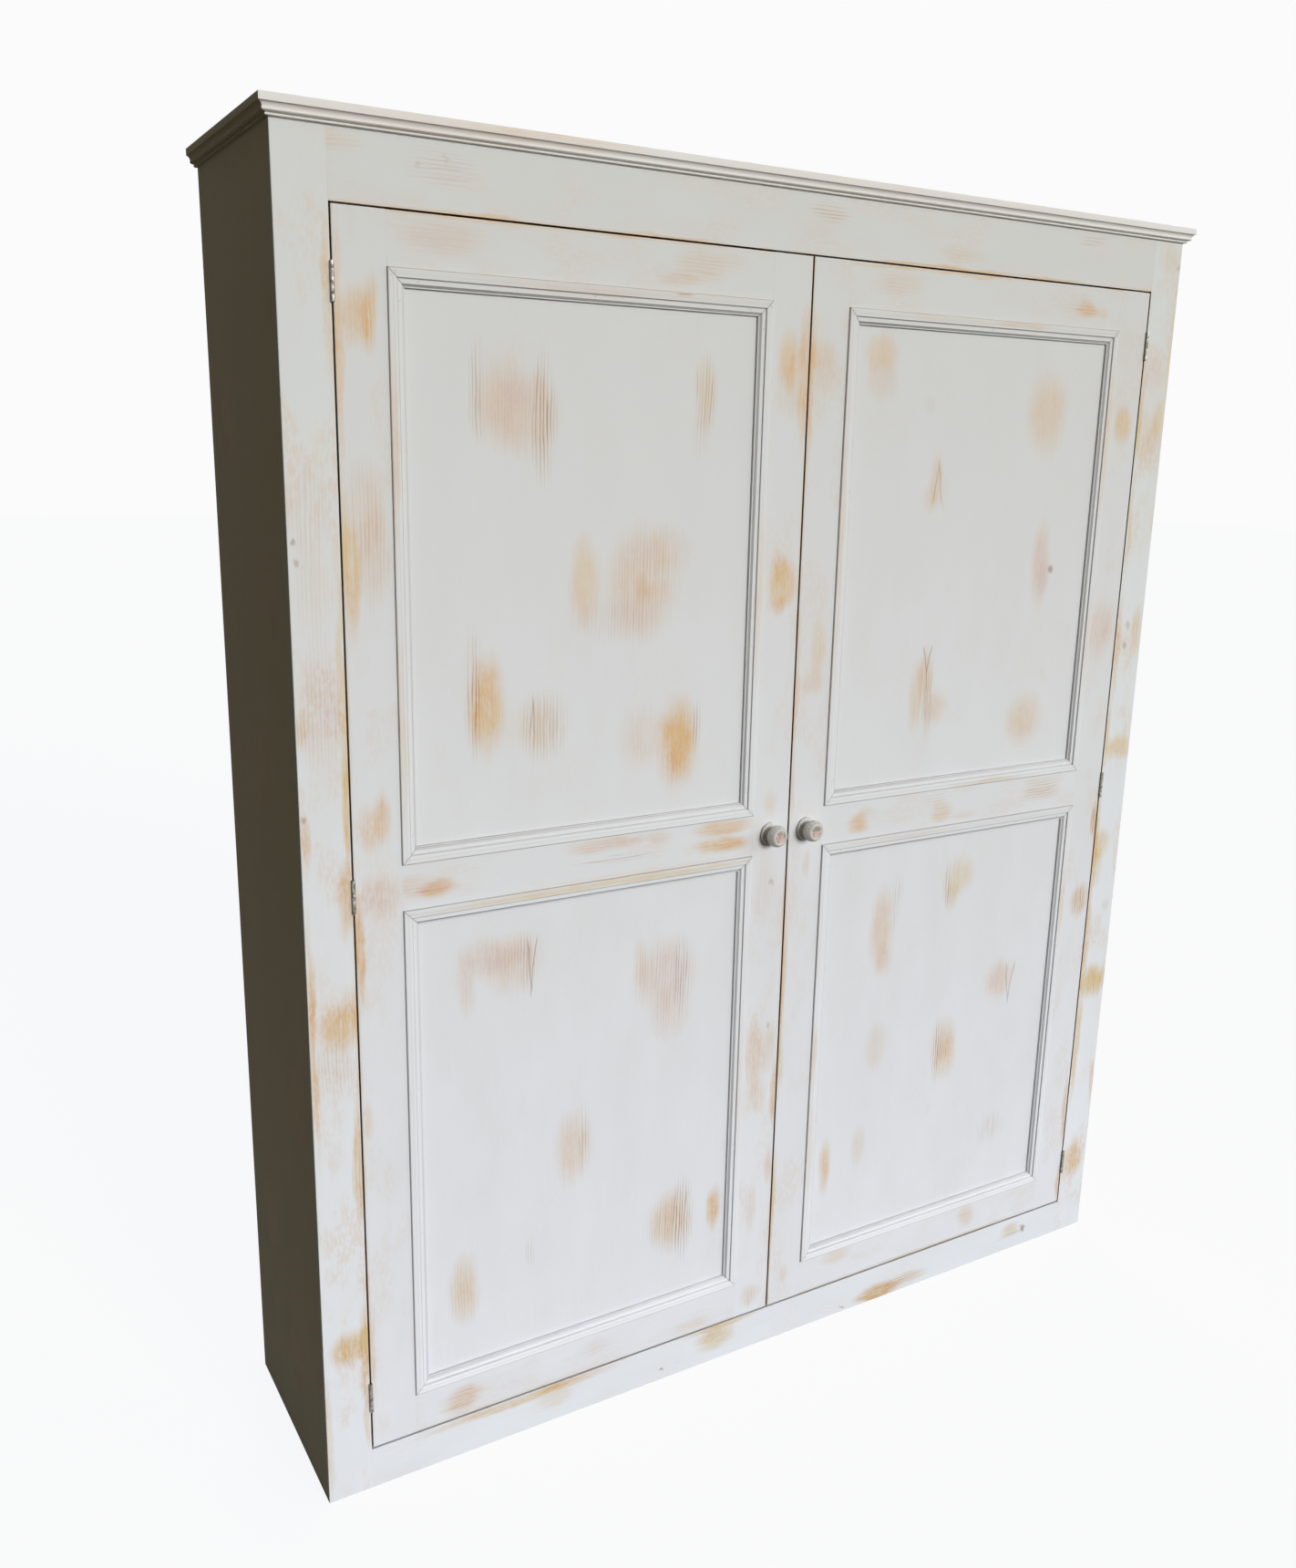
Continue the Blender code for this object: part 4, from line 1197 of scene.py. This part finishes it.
knob = {
    "steps": 48,
    "base radius": 0.0202,
    "base thickness": 0.0050,
    "neck radius": 0.0105,
    "neck end": 0.0120,
    "cap radius": 0.0186,
    "cap widest": 0.0212,
    "flat radius": 0.0126,
    "dimple": 0.0008,
    # base paint lighter than cap paint is painted light, lifting the base ring out of the cap's shadow
    "base paint": (0.66, 0.66, 0.65),
    "cap paint": (0.63, 0.63, 0.62),
    "bore radius": 0.0022,
    "bore depth": 0.0150,
    # how far out from the door the paint changes, and the soft lines round the cap
    "face starts": (0.024, 0.029),
    "cap starts": (0.004, 0.018),
    "rim line": (0.0022, 0.0004),
    "outline": (0.0020, 0.0005),
}


def knobProfile(length):
    # points of distance from the door and radius, from the bore round to the cap's middle
    values = knob
    bore = values["bore radius"]
    thickness = values["base thickness"]
    edge = thickness / 2
    rim = values["base radius"] - edge
    neck = values["neck radius"]
    behind = values["cap widest"] - values["neck end"]
    grow = values["cap radius"] - neck
    widest = values["cap widest"]
    capRadius = values["cap radius"]
    flatRadius = values["flat radius"]
    points = [(values["bore depth"], 0.0), (values["bore depth"], bore), (0.0, bore), (0.0, rim)]
    for out, radius in arcPoints((edge, rim), (edge, edge), -60, 90, 8):
        points.append((edge + (radius - rim), rim + (out - edge)))
    middle = (thickness + values["neck end"]) / 2
    hollow = arcPoints((neck + edge, middle), (edge, middle - thickness), 250, 180, 5)
    points += [(out, radius) for radius, out in hollow]
    for angle in range(8, 91, 10):
        turn = math.radians(angle)
        points.append((widest - behind * math.cos(turn), neck + grow * math.sin(turn)))
    points.append((widest, capRadius))
    flat = math.acos(flatRadius / capRadius)
    domeSteps = 9
    for step in range(1, domeSteps + 1):
        turn = flat * step / domeSteps
        rise = (length - widest) * math.sin(turn) / math.sin(flat)
        points.append((widest + rise, capRadius * math.cos(turn)))
    dimple = values["dimple"]
    points += [(length - dimple * 0.4, flatRadius - dimple)]
    points += [(length - dimple, flatRadius - 3 * dimple), (length - dimple, 0.0)]
    return points


def knobPaint(name, centre):
    # paint rubbed off the flat of the cap and thinned round the rims
    material = newMaterial(name)
    place = objectPlace(material)
    radius = place.fromMiddle(centre, (1.0, bigStretch, 1.0)).length()
    blot = place.noise((110.0, 110.0, 110.0), 2.0)
    streak = place.noise((500.0, 90.0, 60.0), 3.0)
    flat = radius.fade(knob["flat radius"] * 1.15, knob["flat radius"] * 0.55)
    rim = abs(radius - knob["cap radius"] * 0.93).fade(*knob["rim line"])
    out = place.split().output("Y")
    changes = [[centre[1] - far for far in knob[part]] for part in ("face starts", "cap starts")]
    atFace, atCap = (out.fade(*change) for change in changes)
    rub = (flat * atFace * (0.35 + blot * 0.8) + rim * 0.35 * streak.fade(0.4, 0.6)).clamped()
    # painted light: the base lighter than the cap, against the cap's shadow on it
    colour = atCap.mix(rgba(knob["base paint"]), rgba(knob["cap paint"]))
    colour = (blot * 0.5 + streak * 0.25 - 0.2).clamped().mix(colour, rgba(paint["shade"]))
    # a dark ring round the shoulder of the cap
    outline = abs(radius - knob["flat radius"] * 1.22).fade(*knob["outline"]) * atFace * 0.40
    colour = outline.mix(colour, rgba(paint["dirtAndShade"]))
    wood = blot.fade(0.42, 0.60).mix(rgba(paint["bare wood and gap shade"]), rgba(paint["pink"]))
    colour = rub.mix(colour, wood)
    roughness = rub * -0.12 + (streak * 0.1 + 0.56)
    return finishMaterial(material, colour, roughness, streak * 0.5 + blot * 0.4, 0.0003,
                          {"Specular IOR Level": 0.25})


screw = {
    "shank radius": 0.0019,
    "head radius": 0.0042,
    "head height": 0.0024,
    "head undercut": 0.0002,
    "slot width": 0.0009,
    "slot depth": 0.0009,
    "tip": (0.4, 1.5),  # radius and length of the point, in shank radii
    "steps": 32,
}


def makeScrewModel(length):
    # a screw with a domed, slotted head, the head's seat at y = 0 and the shank behind it
    radius = screw["shank radius"]
    headRadius, headHeight = screw["head radius"], screw["head height"]
    end = headHeight - length
    tipRadius, tipLength = (radius * share for share in screw["tip"])
    outline = [(0.0, end), (tipRadius, end), (radius, end + tipLength), (radius, 0.0)]
    outline += [(headRadius - screw["head undercut"], 0.0)]
    outline += arcPoints((0.0, 0.0), (headRadius, headHeight), 6, 90, 9)
    model = turnOnLathe("knob_screw_model", outline, screw["steps"])
    across, half = headRadius * 1.2, screw["slot width"] / 2
    slot = addBlock("slot", (-across, headHeight - screw["slot depth"], -half),
                    (across, headHeight * 2, half))
    return shapeWith(model, slot, "DIFFERENCE")


def makeKnobs():
    lowest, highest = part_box("knob_left")
    outline = [(radius, -out) for out, radius in knobProfile(highest.y - lowest.y)]
    model = turnOnLathe("knob_model", outline, knob["steps"])
    screwLow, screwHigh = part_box("knob_screw_left")
    screwModel = makeScrewModel(screwHigh.y - screwLow.y)
    steel = dullSteel("steel of the knob screws")
    for hand in hands.values():
        lowest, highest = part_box("knob_" + hand)
        middle = (lowest + highest) / 2
        item = copyPiece(model, f"turned_knob_{hand}")
        centre = (middle.x, highest.y, middle.z)
        movePiece(item, centre)
        closeUp(item, turnedAngle)
        look = knobPaint(f"paint on {hand} knob", centre)
        settle(item, look, hand + "_door", "painted_pine", "knob_" + hand)
        item = copyPiece(screwModel, f"slotted_knob_screw_{hand}")
        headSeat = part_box("knob_screw_" + hand)[1].y - screw["head height"]
        movePiece(item, (middle.x, headSeat, middle.z))
        closeUp(item, turnedAngle)
        settle(item, steel, hand + "_door", "hinge_steel", "knob_screw_" + hand)
    removePiece(model)
    removePiece(screwModel)


makeKnobs()
print("knobs are turned and screwed on")

hinge = {
    "knuckles": 5,
    "knuckle radius": 0.00275,
    "knuckle soft": 0.00010,
    "knuckle gap": 0.00010,
    "pin radius": 0.0013,
    "pin soft": 0.0003,
    "leaf near": 0.00075,
    "leaf far": 0.00195,
    "leaf corner": 0.001,
    "screw radius": 0.0026,
    "screw places": ((0.0095, -0.0175), (0.0118, 0.0), (0.0095, 0.0175)),
    "screw slot": (0.0007, 0.0004),
    "well margin": 0.0003,
    "sink": 0.0003,
    "screw below": 0.00005,
}


def screwHead(name, radius, slotSize, turn):
    # a slotted countersunk head, its face at x = 0 and looking along +x
    width, depth = slotSize
    head = addCylinder(name, radius, 2 * depth, (-depth, 0.0, 0.0), alongX, 20, depth * 0.3)
    slot = addBlock("slot", (-depth, -radius * 1.3, -width / 2), (depth, radius * 1.3, width / 2))
    turnPiece(slot, turn, "X")
    return shapeWith(head, slot, "DIFFERENCE")


def makeLeaf(name, size, hand, own, pinned):
    # one leaf about the pin's middle: a notched plate, its rolled knuckles and its screws
    values = hinge
    half, reach = size
    radius = values["knuckle radius"]
    gap = values["knuckle gap"]
    near = values["leaf near"]
    cut = values["leaf corner"]
    notch = radius + gap
    outline = []
    for low, high in own:
        outline += [(notch, low), (near, low), (near, high), (notch, high)]
    outline += [(reach - cut, half), (reach, half - cut), (reach, cut - half), (reach - cut, -half)]
    plate = drawOutline(name, [(hand * near, y, z) for y, z in outline])
    pushOut((hand * (values["leaf far"] - near), 0.0, 0.0))
    bpy.ops.object.mode_set(mode="OBJECT")
    applyPlace()
    for low, high in own:
        low, high = low + gap / 2, high - gap / 2
        barrel = addCylinder("knuckle", radius, high - low, (0.0, 0.0, (low + high) / 2), corners=28,
                             soft=values["knuckle soft"])
        shapeWith(plate, barrel, "UNION")
    wellRadius = values["screw radius"] + values["well margin"]
    wells = [
        addCylinder("well", wellRadius, 2 * values["sink"], (hand * near, y, z), alongX)
        for y, z in values["screw places"]
    ]
    shapeWith(plate, joinAll(wells), "DIFFERENCE")
    parts = [plate]
    for number, (y, z) in enumerate(values["screw places"]):
        head = screwHead("screw head", values["screw radius"], values["screw slot"], 25 + 50 * number)
        if hand > 0:
            turnPiece(head, 180, "Z")
        movePiece(head, (hand * (near + values["screw below"]), y, z))
        parts.append(head)
    if pinned:
        pinLength = 2 * half - radius * 0.2
        parts.append(addCylinder("pin", values["pin radius"], pinLength, (0.0, 0.0, 0.0), corners=20,
                                 soft=values["pin soft"]))
    return closeUp(joinAll(parts))


def knuckleRanges(first, half):
    # every second knuckle's lower and upper end, from the first one on
    pitch = 2 * half / hinge["knuckles"]
    numbers = range(first, hinge["knuckles"], 2)
    return [(-half + number * pitch, -half + (number + 1) * pitch) for number in numbers]


def makeHinges():
    pins = {joint["child"]: Vector(joint["pos_m"]) for joint in frame["joints"]}
    lowest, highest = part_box("hinge_frame_leaf_left_top")
    half = (highest.z - lowest.z) / 2
    pin = pins["left_door"]
    size = (half, highest.y - pin.y)
    leaves = {
        "frame": makeLeaf("frame_leaf_model", size, -1, knuckleRanges(0, half), True),
        "door": makeLeaf("door_leaf_model", size, 1, knuckleRanges(1, half), False),
    }
    steel = dullSteel("steel of the hinges")
    for hand, side in hands.items():
        pin = pins[side + "_door"]
        for place in ("bottom", "middle", "top"):
            lowest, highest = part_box(f"hinge_frame_leaf_{side}_{place}")
            centre = (pin.x, pin.y, (lowest.z + highest.z) / 2)
            for kind, model in leaves.items():
                item = copyPiece(model, f"butt_hinge_{kind}_leaf_{side}_{place}")
                if hand > 0:
                    turnPiece(item, 180, "Y")
                movePiece(item, centre)
                closeUp(item)
                body = side + "_door" if kind == "door" else "carcass"
                settle(item, steel, body, "hinge_steel", f"hinge_{kind}_leaf_{side}_{place}")
    for model in leaves.values():
        removePiece(model)


makeHinges()
print("hinges are hung")

catch = {
    "case half width": 0.015,
    "case soft": 0.0012,
    "lug thickness": 0.003,
    "lug round": 0.0028,
    "pole width": 0.0240,
    "pole thickness": 0.0012,
    "pole depth": 0.0038,
    "pole soft": 0.0002,
    "pole from edge": 0.0026,
    "slot margin": 0.0002,
    "screw radius": 0.0024,
    "screw slot": (0.0007, 0.0004),
    "screw below": 0.0003,
}


def makeCatch(side, plastic, steel):
    # a case with two lugs, two slots with a steel pole in each, and a screw through each lug
    values = catch
    lowest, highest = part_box("catch_" + side)
    middle = (lowest + highest) / 2
    half = values["case half width"]
    lug = values["lug thickness"]
    case = addBlock(f"magnetic_catch_{side}", (middle.x - half, lowest.y, lowest.z),
                    (middle.x + half, highest.y, highest.z), values["case soft"],
                    lambda edge: min(end.co.z for end in edge.verts) < highest.z - tiny)
    quarter = (highest.y - lowest.y) / 4
    lugs = addBlock("lugs", (lowest.x, lowest.y + quarter, highest.z - lug),
                    (highest.x, highest.y - quarter, highest.z), values["lug round"],
                    lambda edge: abs(edge.verts[0].co.z - edge.verts[1].co.z) > lug / 2)
    shapeWith(case, lugs, "UNION")
    across = values["pole width"] / 2
    thick = values["pole thickness"] / 2
    deep = lowest.y + values["pole depth"]
    more = values["slot margin"]
    heights = (lowest.z + values["pole from edge"], highest.z - values["pole from edge"] - lug)
    slots = [
        addBlock("pole slot", (middle.x - across - more, lowest.y - lug, z - thick - more),
                 (middle.x + across + more, deep + more, z + thick + more))
        for z in heights
    ]
    shapeWith(case, joinAll(slots), "DIFFERENCE")
    closeUp(case)
    settle(case, plastic, "carcass", "catch_plastic", "catch_" + side)
    parts = [
        addBlock("pole", (middle.x - across, lowest.y, z - thick), (middle.x + across, deep, z + thick),
                 values["pole soft"])
        for z in heights
    ]
    for way in (-1, 1):
        head = screwHead("lug screw", values["screw radius"], values["screw slot"], 35 * way)
        turnPiece(head, 90, "Y")
        lugX = middle.x + way * (half + (highest.x - middle.x - half) / 2)
        movePiece(head, (lugX, middle.y, highest.z - lug - values["screw below"]))
        parts.append(head)
    metal = joinAll(parts)
    metal.name = f"catch_poles_and_screws_{side}"
    closeUp(metal)
    settle(metal, steel, "carcass", "hinge_steel")


strikePlate = {
    "soft": 0.0002,
    "screw from middle": 0.0135,
    "screw radius": 0.0022,
    "screw slot": (0.0006, 0.0003),
    "screw below": 0.00005,
    "well radius": 0.0025,
    "well height": 0.0006,
}


def makeStrikePlate(side, steel):
    values = strikePlate
    node = "strike_plate_" + side
    lowest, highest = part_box(node)
    middle = (lowest + highest) / 2
    plate = addBlock(f"catch_plate_{side}", lowest, highest, values["soft"])
    for way in (-1, 1):
        x = middle.x + way * values["screw from middle"]
        place = (x, highest.y, middle.z)
        well = addCylinder("well", values["well radius"], values["well height"], place, alongY)
        shapeWith(plate, well, "DIFFERENCE")
        head = screwHead("plate screw", values["screw radius"], values["screw slot"], 20 + 40 * way)
        turnPiece(head, 90, "Z")
        movePiece(head, (x, highest.y - values["screw below"], middle.z))
        joinAll([plate, head])
    closeUp(plate)
    settle(plate, steel, side + "_door", "hinge_steel", node)


def makeCatches():
    plastic = mouldedPlastic("brown catch plastic")
    steel = dullSteel("steel of the catches")
    for side in hands.values():
        makeCatch(side, plastic, steel)
        makeStrikePlate(side, steel)


makeCatches()
print("catches and their plates are fixed")
